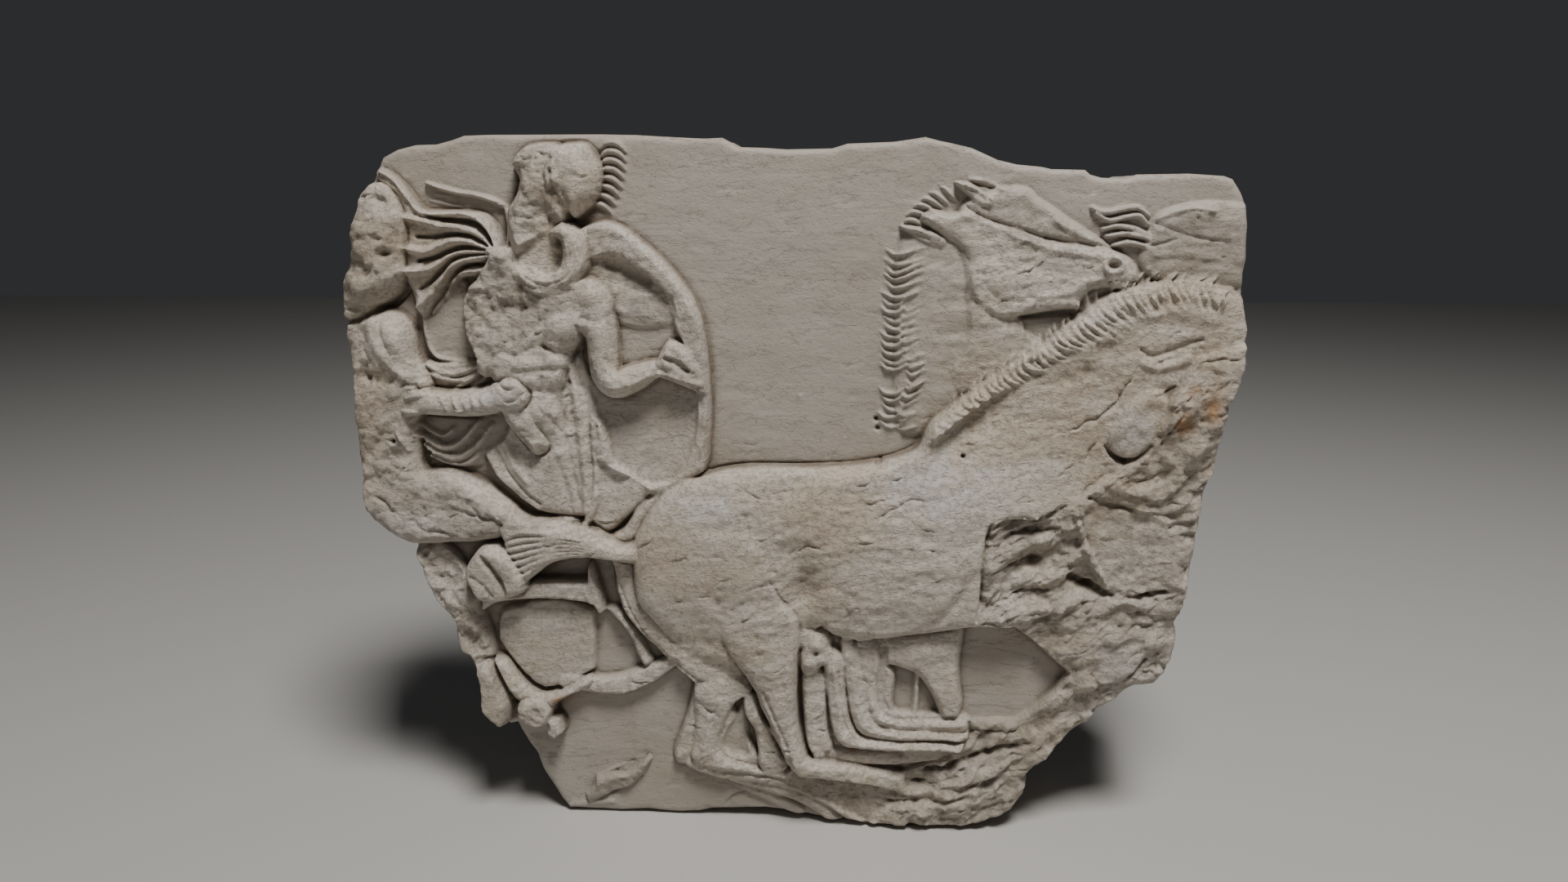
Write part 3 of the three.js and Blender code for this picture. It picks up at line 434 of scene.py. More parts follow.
def carve_front_head(face, size):
    relief = size.front_head
    face.body([
        (146, 350), (170, 372), (232, 366), (250, 330), (262, 290), (290, 262), (330, 240), (345, 222),
        (300, 185), (240, 142), (206, 108), (168, 98), (148, 140), (146, 240)], 0.5 * relief, 32, cut=0)
    face.body([
        (222, 372), (233, 340), (236, 300), (240, 262), (236, 226), (224, 190), (240, 160), (300, 190),
        (344, 216), (330, 226), (319, 243), (312, 264), (290, 270), (262, 300), (250, 360)
    ], 0.82 * relief, 30, cut=0)
    face.rolls([
        at(-2.5, [(236, 330, 5), (240, 280, 6), (242, 235, 6), (232, 200, 5)]),
        at(3, [(313, 258, 3), (318, 242, 3), (330, 227, 3), (344, 216, 3)])], soft=True)
    face.body([
        (176, 388), (190, 402), (214, 398), (240, 401), (256, 389), (280, 381), (302, 374), (322, 366),
        (342, 360), (370, 357), (400, 353), (430, 349), (448, 342), (460, 330), (463, 315), (456, 303),
        (440, 299), (420, 301), (402, 297), (391, 286), (386, 273), (350, 268), (314, 262), (298, 258),
        (280, 263), (262, 274), (249, 291), (243, 310), (244, 332), (232, 352), (205, 368)], relief, 17)
    # The stone's level bedding shows in the cheek and down the neck
    area = [
        (185, 385), (300, 370), (440, 335), (400, 280), (300, 256), (340, 225), (240, 150), (186, 125)]
    w, depth = face.depth_inside(area, sharp=True)
    x, z = face.X[w], face.Z[w]
    wave = z + 6 * roughness(x, z, 90, 151, 2) - 0.05 * x
    face.H[w] += 2.6 * roughness(x / 5.5, wave, 13, 153, 3) * ease(depth / 14)
    # The jaw stands out, the temple and the hollow behind the mouth sink
    face.swells([(284, 304, 40, 34, 6), (262, 365, 14, 10, -3), (350, 322, 44, 13, -3.5, -6)])
    face.rolls([
        at(3.5, [(300, 368, 7), (350, 352, 8), (410, 342, 8)]),
        at(2, [(246, 322, 6), (252, 292, 7), (282, 270, 7), (312, 270, 6)]),
        at(-2, [(260, 322, 5), (266, 300, 5), (286, 286, 5), (310, 284, 5)]),
        at(2.5, [(330, 290, 6), (370, 296, 7), (400, 312, 6)])], soft=True)
    face.swells([(313, 349, 11, 9, 5.5), (313, 348, 5, 4, -3.5)])
    face.rolls([
        at(3, [(302, 358, 3), (314, 363, 3), (328, 356, 3)]),
        at(2, [(306, 341, 3), (316, 339, 3), (326, 344, 3)])], soft=True)
    face.roll(at(4.5, [
        (416, 334, 4), (424, 341, 4), (436, 337, 4), (436, 325, 4), (421, 322, 4), (415, 331, 4)]))
    face.swells([(427, 331, 8, 6, -8), (450, 327, 5, 5, -3)])
    face.rolls([
        at(3, [(392, 287, 6), (420, 300, 6), (452, 300, 5)]),
        at(-3, [(396, 305, 3), (426, 311, 3), (460, 309, 3)])], soft=True)
    face.rolls([
        at(-4, [(236, 405, 3), (262, 390, 4), (300, 379, 4), (340, 366, 4), (390, 359, 4),
            (440, 350, 3)]),
        at(3, [(216, 396, 6), (250, 390, 7), (290, 373, 7)])], soft=True)
    # Under the mouth a deep slot cuts the head from the mane
    face.roll([
        (308, 263, 2.5, -5), (330, 264, 4.5, -10), (352, 267, 6, -13), (374, 269, 7, -13),
        (396, 266, 4, -6)])
    face.limb(at(0.8 * relief, [(152, 380, 2), (168, 375, 6), (186, 368, 9), (204, 360, 7)]), cut=1)
    face.roll(at(-5, [(163, 374, 2), (174, 370, 4), (188, 364, 3)]))
    tufts = [
        (154, 384, 26, 3), (158, 394, 28, 3), (166, 404, 27, 2), (175, 413, 26, 0), (188, 423, 22, -6),
        (202, 431, 20, -10)]
    for x, z, reach, rise in tufts:
        face.roll([
            (x, z, 1.4, 3), (x + 0.3 * reach, z + 0.6 * rise + 3, 3, 6),
            (x + 0.7 * reach, z + rise - 1, 3.6, 6), (x + 1.1 * reach, z + rise - 8, 2, 3)])


def carve_upright_mane(face, size):
    """Two columns of short wavy locks with loose tips on the left."""
    top, foot, locks = 346, 104, 22
    source = np.random.RandomState(45)
    pitch = (top - foot) / locks
    for k in range(locks):
        z = top - k * pitch + source.uniform(-1.8, 1.8)
        tip, lift, worn = source.uniform(-5, 5), source.uniform(-3, 4), source.uniform(0.5, 1.0)
        if k < 6:
            face.roll([
                (132 + tip, z + 3, 1.6, 3), (143, z - 4, 3.0, 8 * worn),
                (156, z - 2 + 0.5 * lift, 3.2, 6.5), (170, z + 3 + lift, 2.8, 6 * worn),
                (183 + tip, z + 7 + lift, 1.6, 2)])
            continue
        shift = 6 * math.sin(0.55 * k)
        if k not in (15, 16):
            face.roll([
                (131 + tip, z + 5, 1.6, 2), (139 + tip, z - 2, 2.9, 7.5 * worn),
                (149, z - 3 + 0.5 * lift, 3.0, 7 * worn), (160 + 0.4 * shift, z + 4 + lift, 1.8, 3)])
        z -= 0.5 * pitch + source.uniform(-2, 2)
        worn = source.uniform(0.3, 1.0) * (0.7 if k < 13 else 1.0)
        face.roll([
            (156 + shift, z + 3, 1.6, 2), (164 + shift, z - 3, 2.7, 6.5 * worn),
            (173 + shift, z + 1 + 0.5 * lift, 2.7, 6 * worn), (184 + shift, z + 6 + lift, 1.5, 1.5)])


def shoulder_slope(size):
    """The body falls off from the shoulder to the neck on the right."""
    drop = size.near_horse - size.near_neck

    def extra(x, z, depth):
        return -drop * ease((0.72 * (x - 215) + 0.7 * (z - 35)) / 175)
    return extra


def carve_near_neck(face, size):
    face.body([
        (197, 122), (236, 153), (280, 187), (330, 219), (369, 250), (398, 274), (430, 296), (478, 309),
        (520, 312), (566, 306), (600, 290), (618, 262), (614, 215), (610, 170), (600, 120), (596, 60),
        (584, 0), (576, -60), (540, -110), (440, -130), (330, -165), (240, -170), (120, -190),
        (60, -178), (40, 0), (90, 48), (150, 64), (180, 86)
    ], size.near_horse, 22, cut=0, extra=shoulder_slope(size))
    # The neck bows out below the mane, and a hollow follows the jaw that is gone
    face.rolls([
        at(4, [(400, 222, 16), (440, 250, 18), (480, 268, 17), (520, 272, 16), (560, 262, 14)]),
        at(-4, [(250, 112, 10), (300, 140, 14), (350, 168, 16), (400, 190, 14)])], soft=True)
    face.rolls([
        at(-5, [(468, 222, 5), (485, 214, 7), (520, 226, 7), (545, 236, 5)]),
        at(4, [(470, 204, 7), (494, 198, 8), (530, 210, 8)])], soft=True)


def carve_slant_mane(face, size):
    """A cropped mane of short wavy locks across the neck, with a second row on its upper part."""
    crest = [
        (203, 110, 7), (240, 142, 13), (290, 177, 16), (340, 208, 17), (380, 239, 19), (410, 261, 20),
        (440, 282, 19), (480, 296, 16), (520, 299, 15), (560, 294, 14), (590, 277, 10)]
    source = np.random.RandomState(47)
    route = curve_through(at(0, crest), pieces=40)
    steps = np.hypot(np.diff(route[:, 0]), np.diff(route[:, 1]))
    walked = np.concatenate([[0.0], np.cumsum(steps)])
    pitch = 9.6
    for k in range(int((walked[-1] - 10) / pitch)):
        i = int(np.searchsorted(walked, 6 + pitch * k + source.uniform(-2.2, 2.2)))
        x, z, half, _ = route[i]
        way = route[min(i + 3, len(route) - 1)][:2] - route[i][:2]
        tx, tz = way / math.hypot(*way)
        longer = 1.25 if 380 < x < 490 else 1.0
        reach = half * source.uniform(0.85, 1.2) * longer
        worn = source.uniform(0.45, 1.0) * min(1.0, 0.35 + walked[i] / 90)
        lean = source.uniform(-3, 6)
        points = []
        profile = [
            (-0.95, 8, 1.5, 2), (-0.55, 3, 2.6, 6 * worn), (-0.05, -3, 2.7, 7 * worn),
            (0.5, -4, 2.7, 7.5 * worn), (0.95, 1, 2.5, 7 * worn), (1.28, 7 + lean, 1.3, 2.5)]
        for share, slip, width, rise in profile:
            points.append((x - share * reach * tz + (slip + share * lean) * tx,
                           z + share * reach * tx + (slip + share * lean) * tz, width, rise))
        face.roll(points)
        if x > 400 and k % 3:
            # The second row lies below the first, and a little further along
            shift_x, shift_z = 4.5 * tx + 0.7 * half * tz, 4.5 * tz - 0.7 * half * tx
            face.roll([(px + shift_x, pz + shift_z, 0.8 * width, 0.6 * rise)
                       for px, pz, width, rise in points[:4]])


def carve_rear_horses(face, size):
    """The rumps behind stand out step by step, and their hind legs reach forward below."""
    face.body([
        (-246, -95), (-262, -60), (-250, -48), (-229, -36), (-211, -9), (-195, 7), (-180, 20),
        (-165, 31), (-145, 39), (-110, 44), (-60, 54), (0, 55), (50, 52), (84, 30), (90, -100),
        (30, -200), (-60, -290), (-108, -290), (-135, -268), (-160, -245), (-190, -215), (-205, -200),
        (-225, -175), (-238, -150), (-244, -125)], size.rear_horse, 10, cut=4)
    face.roll(at(-4, [
        (-240, -88, 3), (-234, -120, 3), (-222, -155, 3), (-196, -198, 3), (-160, -234, 3),
        (-120, -266, 3)]), soft=True)
    leg = size.rear_leg
    face.body([
        (-118, -262), (-132, -268), (-140, -300), (-150, -335), (-162, -366), (-168, -388),
        (-162, -402), (-146, -406), (-110, -398), (-60, -404), (0, -412), (20, -400), (-40, -380),
        (-80, -300)], 0.72 * leg, 9, cut=3)
    face.body([
        (-128, -262), (-134, -290), (-132, -330), (-136, -362), (-140, -385), (-132, -402),
        (-112, -408), (-80, -412), (-40, -416), (0, -422), (24, -424), (30, -404), (-20, -404),
        (-60, -396), (-88, -386), (-98, -368), (-92, -340), (-78, -310), (-58, -285), (-50, -268),
        (-90, -250)], 1.15 * leg, 12, cut=3)
    face.swell(-102, -296, 24, 34, 6)
    face.rolls([
        at(4, [(-112, -320, 7), (-116, -360, 8), (-122, -388, 9)]),
        at(3, [(-110, -396, 5), (-70, -400, 5), (-30, -407, 5), (10, -413, 5)])], soft=True)
    face.roll(at(3, [(-158, -388, 7), (-154, -360, 5), (-146, -330, 5)]), soft=True)
    face.body([
        (-58, -282), (-62, -312), (-48, -340), (-42, -372), (-38, -400), (-24, -408), (-4, -406),
        (6, -392), (-6, -370), (-16, -340), (-26, -310), (-30, -285)], 1.25 * leg, 8, cut=3)
    face.body([
        (-72, -318), (-62, -300), (-56, -330), (-54, -365), (-58, -388), (-86, -380), (-94, -362)
    ], 0.4 * leg, 8, cut=0)
    # The pasterns run on below, side by side, towards the broken hooves
    pasterns = [
        (0.9, [(-140, -402, 8), (-90, -416, 9), (-30, -422, 10), (20, -430, 11), (62, -448, 13),
            (92, -470, 13), (118, -492, 12)]),
        (0.6, [(-80, -424, 7), (-40, -434, 9), (10, -446, 11), (50, -466, 12), (78, -490, 10)]),
        (0.3, [(-60, -440, 8), (-20, -456, 10), (20, -478, 10)])]
    for share, points in pasterns:
        face.limb(at(share * leg, points), full=3)
    face.roll(at(3, [
        (-60, -416, 3), (0, -423, 4), (50, -437, 5), (90, -462, 5), (116, -486, 4)]), soft=True)


def carve_inner_legs(face, size):
    """Under the belly the legs of the farther horses lie nested, one inside the next."""
    relief = size.inner_leg
    face.body([
        (128, -190), (150, -184), (185, -180), (222, -172), (252, -168), (253, -198), (250, -228),
        (252, -262), (256, -296), (246, -322), (226, -318), (214, -290), (200, -266), (186, -250),
        (160, -240), (134, -230)], 0.66 * relief, 14, cut=2)
    face.swells([(200, -212, 40, 16, 4), (236, -250, 14, 40, 3)])
    face.body([
        (130, -228), (150, -238), (158, -254), (156, -290), (158, -320), (140, -322), (126, -300)
    ], 0.52 * relief, 7, cut=1)
    face.body([
        (186, -248), (193, -252), (191, -322), (179, -322), (183, -290)], 0.34 * relief, 5, cut=1)
    # Each leg comes down beside the one before, bends at the hock and runs to the right
    face.body([
        (30, -190), (140, -190), (150, -300), (262, -312), (266, -366), (176, -392), (60, -390),
        (30, -370)], 0.42 * relief, 4, cut=0)
    nested = [
        (0.66, [(100, -192), (128, -196), (136, -232), (131, -262), (134, -294), (148, -315),
            (190, -319), (250, -316), (264, -326), (250, -336), (180, -335), (138, -330), (118, -306),
            (108, -262)]),
        (0.82, [(78, -196), (100, -200), (108, -240), (113, -275), (120, -304), (134, -326),
            (170, -333), (262, -336), (264, -348), (200, -350), (140, -349), (112, -343), (97, -322),
            (88, -280)]),
        (1.0, [(54, -210), (80, -216), (86, -260), (91, -300), (99, -328), (114, -344), (160, -349),
            (262, -351), (264, -364), (200, -365), (104, -364), (78, -354), (67, -330), (61, -290)]),
        (0.84, [(26, -240), (57, -246), (60, -300), (63, -340), (70, -366), (60, -386), (40, -380),
            (29, -340)]),
        (0.66, [(56, -372), (66, -366), (110, -369), (160, -371), (176, -380), (160, -391), (100, -391),
            (62, -388)])]
    for share, outline in nested:
        face.body(outline, share * relief, 7.5, cut=2)
    face.rolls([
        at(2.5, [(118, -250, 5), (124, -290, 5), (140, -318, 5), (190, -325, 4), (250, -324, 4)]),
        at(2.5, [(94, -240, 5), (102, -290, 5), (112, -325, 6), (150, -340, 5), (250, -342, 4)]),
        at(3, [(70, -240, 5), (77, -300, 5), (84, -340, 7), (110, -354, 5), (250, -357, 4)])
    ], soft=True)
    face.swells([
        (84, -344, 13, 11, 5), (122, -322, 12, 11, 4), (146, -314, 10, 9, 3), (68, -232, 10, 18, 4),
        (90, -222, 9, 16, 3), (250, -344, 16, 9, 4), (252, -358, 14, 8, 4), (46, -376, 12, 9, 4)])
    face.rolls([
        at(-3, [(76, -240, 2), (80, -290, 2.5), (88, -325, 2.5), (106, -350, 2)]),
        at(-2.5, [(104, -250, 2), (110, -290, 2.5), (120, -318, 2)])], soft=True)


def carve_near_horse(face, size):
    slope = shoulder_slope(size)
    # The front line of the thigh, as pairs of height and place
    thigh_front = [
        (-250, 24), (-215, 20), (-172, 18), (-138, 4), (-104, -10), (-72, -24), (-40, -46), (-20, -90)]

    def extra(x, z, depth):
        haunch = 2 * np.exp(-((x + 110) / 100) ** 2 - ((z + 90) / 110) ** 2)
        barrel = 5 * np.exp(-((x - 140) / 100) ** 2 - ((z + 95) / 70) ** 2)
        flank = 7 * np.exp(-((x - 20) / 34) ** 2 - ((z + 108) / 72) ** 2)
        front = np.interp(z, *zip(*thigh_front))
        thigh = (4 * ease((front + 6 - x) / 15) * ease((x + 175) / 90)
                 * ease((z + 262) / 40) * ease((-20 - z) / 30))
        dome = 14 * ((z + 62) / 125) ** 2 * ease((330 - x) / 120)
        return haunch + barrel + thigh - flank - dome + slope(x, z, depth)
    face.body([
        (-213, -62), (-209, -44), (-195, -18), (-180, 4), (-163, 22), (-140, 36), (-110, 42), (-90, 49),
        (-60, 53), (0, 55), (60, 57), (100, 60), (130, 66), (160, 75), (190, 92), (230, 124),
        (300, 168), (380, 170), (440, 130), (450, 60), (430, -20), (380, -80), (340, -140), (312, -166),
        (280, -168), (250, -174), (200, -184), (160, -190), (130, -195), (100, -197), (72, -191),
        (52, -180), (30, -178), (22, -200), (22, -250), (26, -290), (27, -320), (24, -342), (32, -362),
        (42, -378), (40, -398), (28, -409), (12, -402), (4, -385), (-1, -365), (-10, -347), (-22, -335),
        (-36, -320), (-43, -300), (-50, -277), (-70, -262), (-100, -248), (-130, -228), (-152, -210),
        (-168, -194), (-190, -168), (-206, -148), (-213, -120)
    ], size.near_horse, 26, cut=4, extra=extra)
    # The thigh stands out from the flank, and a hollow runs down the leg
    face.swells([(24, -114, 22, 46, -12, -14), (6, -62, 24, 18, -5)])
    face.rolls([
        at(1.5, [(-70, -60, 34), (-60, -115, 40), (-40, -165, 34), (-20, -215, 24)]),
        at(-3, [(264, -82, 9), (250, -110, 10), (238, -130, 10), (215, -157, 9), (190, -170, 8)]),
        at(3, [(250, -60, 14), (236, -100, 14), (214, -134, 12)])], soft=True)
    face.limb([
        (-34, -180, 56, 47), (-24, -222, 45, 46), (-15, -260, 34, 45), (-9, -296, 28, 46),
        (0, -332, 22, 45), (11, -364, 19, 44), (22, -388, 19, 45)], cut=4, full=2.6)
    face.rolls([
        at(-4, [(-30, -270, 4), (-14, -310, 5), (2, -350, 5), (8, -376, 4)]),
        at(3, [(4, -250, 8), (14, -300, 7), (18, -345, 6)]),
        at(3, [(-22, -300, 5), (-8, -335, 5), (4, -366, 5)])], soft=True)
    face.swells([(-5, -215, 26, 50, 3), (25, -390, 14, 13, 5), (215, 20, 70, 50, 4)])
    between = [
        (16, -402), (70, -404), (140, -418), (206, -440), (190, -470), (120, -484), (60, -452),
        (0, -428)]
    face.body(between, 13, 6, cut=0)
    face.cleave(between, 3.5, 13, 87, turn=-16, feather=6)
    relief = 0.85 * size.near_horse
    face.limb([
        (30, -392, 16, relief + 3), (60, -396, 14, relief), (100, -402, 13, relief - 6),
        (140, -411, 13, relief - 13), (176, -424, 14, relief - 19), (206, -442, 12, relief - 24)
    ], cut=3, full=3)
    face.rolls([
        at(3, [(44, -388, 5), (80, -391, 5), (130, -400, 5), (176, -414, 5)]),
        at(3, [(60, -404, 4), (110, -412, 5), (160, -426, 5)])], soft=True)
    face.body([
        (20, -178), (48, -176), (64, -190), (66, -212), (58, -232), (40, -246), (22, -244), (18, -210)
    ], 0.7 * size.near_horse, 14)
    for x, z, reach, rise in ((44, -200, 12, 6), (52, -222, 9, 5), (34, -226, 9, 4), (45, -212, 4, -8)):
        face.swell(x, z, reach, reach, rise)


def carve_tail(face, size):
    relief = size.tail
    face.body([
        (-205, -52), (-228, -56), (-265, -38), (-300, -28), (-350, -24), (-395, -28), (-400, -60),
        (-392, -100), (-372, -118), (-352, -106), (-338, -94), (-318, -84), (-290, -79), (-250, -80),
        (-208, -84)], relief - 2, 12, cut=5)
    strands = 8
    for k in range(strands):
        t = k / (strands - 1)
        face.roll([
            (-208, -60 - 16 * t, 2.5, 2), (-250, -56 - 19 * t, 3.6, 5), (-290, -43 - 33 * t, 4.2, 7),
            (-322, -40 - 45 * t, 4.6, 7), (-348, -38 - 62 * t, 4.8, 7), (-375, -40 - 76 * t, 4.8, 6),
            (-396, -50 - 62 * t, 3, 3)])
    face.body([
        (-457, -100), (-448, -125), (-435, -140), (-410, -144), (-394, -139), (-373, -131),
        (-364, -118), (-370, -98), (-381, -80), (-396, -63), (-425, -60), (-442, -74)
    ], 1.22 * relief, 13, cut=5)
    face.roll([(-425, -75, 5, -8), (-405, -100, 5, -10), (-395, -125, 5, -9), (-388, -140, 4, -6)])
    face.roll(at(-4, [(-440, -104, 6), (-424, -116, 6), (-412, -132, 5)]), soft=True)
    face.cleave([
        (-457, -100), (-435, -140), (-373, -131), (-381, -80), (-425, -60)
    ], 3, 19, 61, turn=50, feather=6, stretch=1.5)


def carve_chariot(face, size):
    rail = size.chariot
    face.limb(at(rail + 3, [(-360, -124, 8), (-345, -126, 9), (-310, -128, 10), (-284, -130, 9)]))
    face.body([
        (-440, -165), (-430, -120), (-380, -118), (-345, -117), (-285, -116), (-268, -120),
        (-260, -158), (-275, -155), (-290, -150), (-310, -147), (-332, -146), (-370, -147),
        (-400, -150), (-420, -155)], rail, 9)
    face.limb(at(0.9 * rail, [
        (-279, -94, 3), (-277, -112, 7), (-274, -135, 8), (-266, -160, 7)]), cut=1)
    face.body([
        (-415, -168), (-400, -160), (-380, -157), (-368, -150), (-335, -146), (-310, -150),
        (-277, -163), (-276, -200), (-279, -255), (-292, -263), (-310, -275), (-340, -285),
        (-355, -287), (-370, -280), (-385, -265), (-396, -250), (-411, -230), (-421, -210), (-420, -188)
    ], 13, 4, cut=0, sharp=True)
    spoke = [
        (-262, -158), (-240, -158), (-224, -178), (-210, -200), (-200, -225), (-192, -240),
        (-206, -248), (-216, -232), (-226, -206), (-240, -182), (-252, -170)]
    face.body(spoke, 0.62 * rail, 9, cut=1)
    face.cleave(spoke, 3, 11, 65, turn=-60, feather=3)
    face.limb(at(size.wheel, [
        (-322, -276, 12), (-290, -278, 13), (-262, -280, 14), (-235, -276, 15), (-212, -266, 15),
        (-188, -254, 13), (-160, -236, 9)]), cut=1.5, full=5)
    face.roll(at(3, [
        (-322, -292, 3), (-290, -292, 3), (-260, -295, 3), (-225, -284, 3), (-180, -264, 3)
    ]), soft=True)
    # What is left of the chariot's box, broken into lumps
    face.body([
        (-427, -238), (-408, -240), (-392, -262), (-374, -284), (-355, -292), (-336, -288),
        (-312, -278), (-300, -268), (-285, -262), (-285, -276), (-310, -292), (-335, -308),
        (-352, -330), (-385, -312), (-405, -290), (-420, -262)], rail, 9)
    face.body([
        (-392, -305), (-378, -296), (-352, -298), (-340, -314), (-345, -336), (-362, -343),
        (-382, -338), (-393, -322)], 1.6 * rail, 9, cut=4, sharp=True)
    face.body([
        (-347, -326), (-332, -330), (-325, -350), (-338, -360), (-352, -350)
    ], 1.3 * rail, 6, sharp=True)
    hub = [(-395, -300), (-350, -294), (-324, -330), (-326, -356), (-350, -350), (-394, -338)]
    face.cleave(hub, 5, 15, 67, turn=-30, feather=5, stretch=1.3)
    face.body([
        (-455, -246), (-450, -285), (-450, -312), (-438, -335), (-420, -348), (-408, -335),
        (-402, -300), (-412, -272), (-424, -248), (-440, -236)], 1.33 * rail, 12)
    face.roll([(-424, -250, 5, -12), (-412, -282, 6, -14), (-400, -310, 5, -10)])
    face.cleave([
        (-455, -246), (-450, -312), (-420, -348), (-362, -343), (-340, -314), (-385, -290), (-424, -240)
    ], 3, 18, 63, turn=-60, feather=6, stretch=1.6)


def carve_low_remnant(face, size):
    face.body([
        (-285, -430), (-260, -424), (-240, -424), (-224, -412), (-205, -394), (-200, -400),
        (-213, -424), (-234, -446), (-258, -456), (-280, -468), (-298, -476), (-304, -462), (-288, -445)
    ], 10, 5, cut=2, sharp=True)
    face.cleave([
        (-290, -430), (-205, -390), (-200, -400), (-235, -448), (-300, -480)], 4, 11, 71, feather=3)
    face.limb(at(3, [(-330, -484, 5), (-300, -478, 5), (-262, -474, 4)]), cut=0)


def carve_shield(face, size):
    rim = size.shield
    face.body([
        (-300, 372), (-283, 374), (-265, 382), (-245, 387), (-230, 385), (-214, 378), (-196, 364),
        (-180, 351), (-163, 336), (-149, 320), (-137, 305), (-124, 285), (-114, 262), (-109, 240),
        (-105, 210), (-103, 180), (-102, 150), (-102, 120), (-104, 90), (-108, 55), (-125, 38),
        (-200, 10), (-290, 40), (-320, 200)], rim, 10)

    def dished(x, z, depth):
        return 6 * (((x + 205) / 85) ** 2 + ((z - 175) / 150) ** 2)
    face.body([
        (-300, 340), (-262, 338), (-245, 344), (-230, 345), (-215, 340), (-200, 330), (-185, 320),
        (-170, 306), (-160, 295), (-153, 270), (-147, 250), (-139, 232), (-127, 205), (-121, 180),
        (-119, 150), (-119, 120), (-122, 100), (-129, 75), (-139, 54), (-152, 38), (-170, 29),
        (-190, 26), (-206, 33), (-226, 47), (-241, 60), (-256, 115), (-300, 150)
    ], size.dish, 7, cut=0, extra=dished)
    face.roll(at(-7, [(-240, 330, 10), (-215, 322, 12), (-185, 306, 10)]), soft=True)
    face.body([
        (-244, 304), (-222, 306), (-205, 296), (-190, 292), (-172, 296), (-154, 292), (-146, 270),
        (-152, 250), (-190, 244), (-225, 250), (-244, 262)], 0.6 * rim, 22, cut=0)
    face.cleave([
        (-240, 300), (-156, 294), (-146, 262), (-190, 252), (-238, 262)], 1.6, 12, 81, turn=-10)
    face.roughen([
        (-262, 338), (-262, 380), (-235, 386), (-200, 362), (-140, 300), (-110, 240), (-105, 100),
        (-108, 60), (-122, 60), (-120, 150), (-130, 220), (-160, 300), (-215, 345)
    ], 3, 20, 83, feather=4)
    face.cleave([
        (-140, 305), (-112, 250), (-104, 150), (-106, 60), (-120, 60), (-119, 150), (-126, 220),
        (-152, 285)], 3, 13, 84, turn=80, feather=3)


def carve_dress(face, size):
    """Cloth over the thigh, smooth where it is stretched, with folds falling at both sides."""
    relief = size.dress
    face.body([
        (-434, 120), (-430, 90), (-424, 60), (-410, 35), (-392, 18), (-370, 0), (-350, -15),
        (-325, -22), (-285, -26), (-262, -34), (-260, 60), (-266, 150), (-330, 170)
    ], 1.35 * relief, 16, cut=2)
    face.swells([(-352, 20, 46, 42, 8, -25), (-322, 78, 24, 46, 13), (-388, 74, 22, 30, -9)])
    face.rolls([
        at(5, [(-420, 70, 6), (-404, 36, 7), (-376, 8, 6), (-348, -10, 4)]),
        at(-5, [(-408, 74, 4), (-392, 44, 5), (-366, 16, 5), (-344, -2, 3)]),
        at(4, [(-396, 84, 6), (-382, 54, 7), (-360, 30, 6)]),
        at(-3, [(-318, 70, 6), (-309, 30, 6), (-300, -14, 4)]),
        at(-3, [(-304, 96, 4), (-297, 50, 5), (-290, 4, 4)])], soft=True)
    face.body([
        (-260, 60), (-240, 50), (-222, 42), (-202, 36), (-188, 14), (-206, -8), (-228, -28),
        (-246, -44), (-266, -44), (-266, 10)], 0.7 * size.shield, 12, cut=0)
    # The edge of the tunic hangs beside the hip, and a narrow strap falls beyond it
    face.roll(at(7, [
        (-294, 194, 6), (-288, 150, 9), (-283, 110, 10), (-280, 70, 10), (-278, 30, 9), (-280, -12, 7)
    ]), soft=True)
    strap = [
        (-265, 112, 4), (-264, 84, 5.5), (-263, 52, 4), (-264, 24, 5), (-269, -4, 6), (-284, -36, 6)]
    face.limb(at(1.75 * relief, strap), cut=2)
    face.cleave([(-274, 114), (-256, 114), (-256, 56), (-274, 58)], 4, 9, 85, turn=80, feather=2)


def carve_torso(face, size):
    face.body([
        (-300, 300), (-262, 292), (-252, 262), (-268, 236), (-286, 214), (-297, 190), (-305, 165),
        (-309, 145), (-305, 120), (-308, 90), (-326, 72), (-350, 78), (-392, 150), (-406, 170),
        (-416, 200), (-418, 228), (-428, 250), (-436, 282), (-410, 302), (-350, 306)
    ], size.torso, 24, cut=3, extra=lambda x, z, depth: -13 * ease((136 - z) / 62))
    face.swells([(-288, 250, 34, 30, 9, 15), (-350, 246, 28, 26, 5), (-352, 190, 30, 34, 3)])
    face.rolls([
        at(-5, [(-326, 222, 6), (-302, 212, 8), (-282, 214, 8), (-268, 228, 6)]),
        at(-3, [(-382, 214, 7), (-360, 210, 7), (-340, 218, 6)]),
        at(-4, [(-320, 272, 6), (-323, 238, 7), (-329, 198, 7), (-335, 160, 6)])], soft=True)
    for x, z in ((-308, 200), (-348, 198), (-312, 178), (-352, 176)):
        face.swell(x, z, 16, 11, 3.5)
    face.rolls([
        at(-2, [(-368, 187, 6), (-335, 189, 7), (-300, 191, 6)]),
        at(-2.5, [(-362, 164, 8), (-330, 160, 9), (-304, 164, 8)]),
        at(-4, [(-322, 128, 5), (-314, 112, 5), (-308, 100, 4)]),
        at(4, [(-296, 200, 8), (-308, 160, 8), (-310, 128, 8)])], soft=True)
    face.swells([(-328, 140, 20, 19, 5), (-330, 133, 3.4, 3.4, -3)])


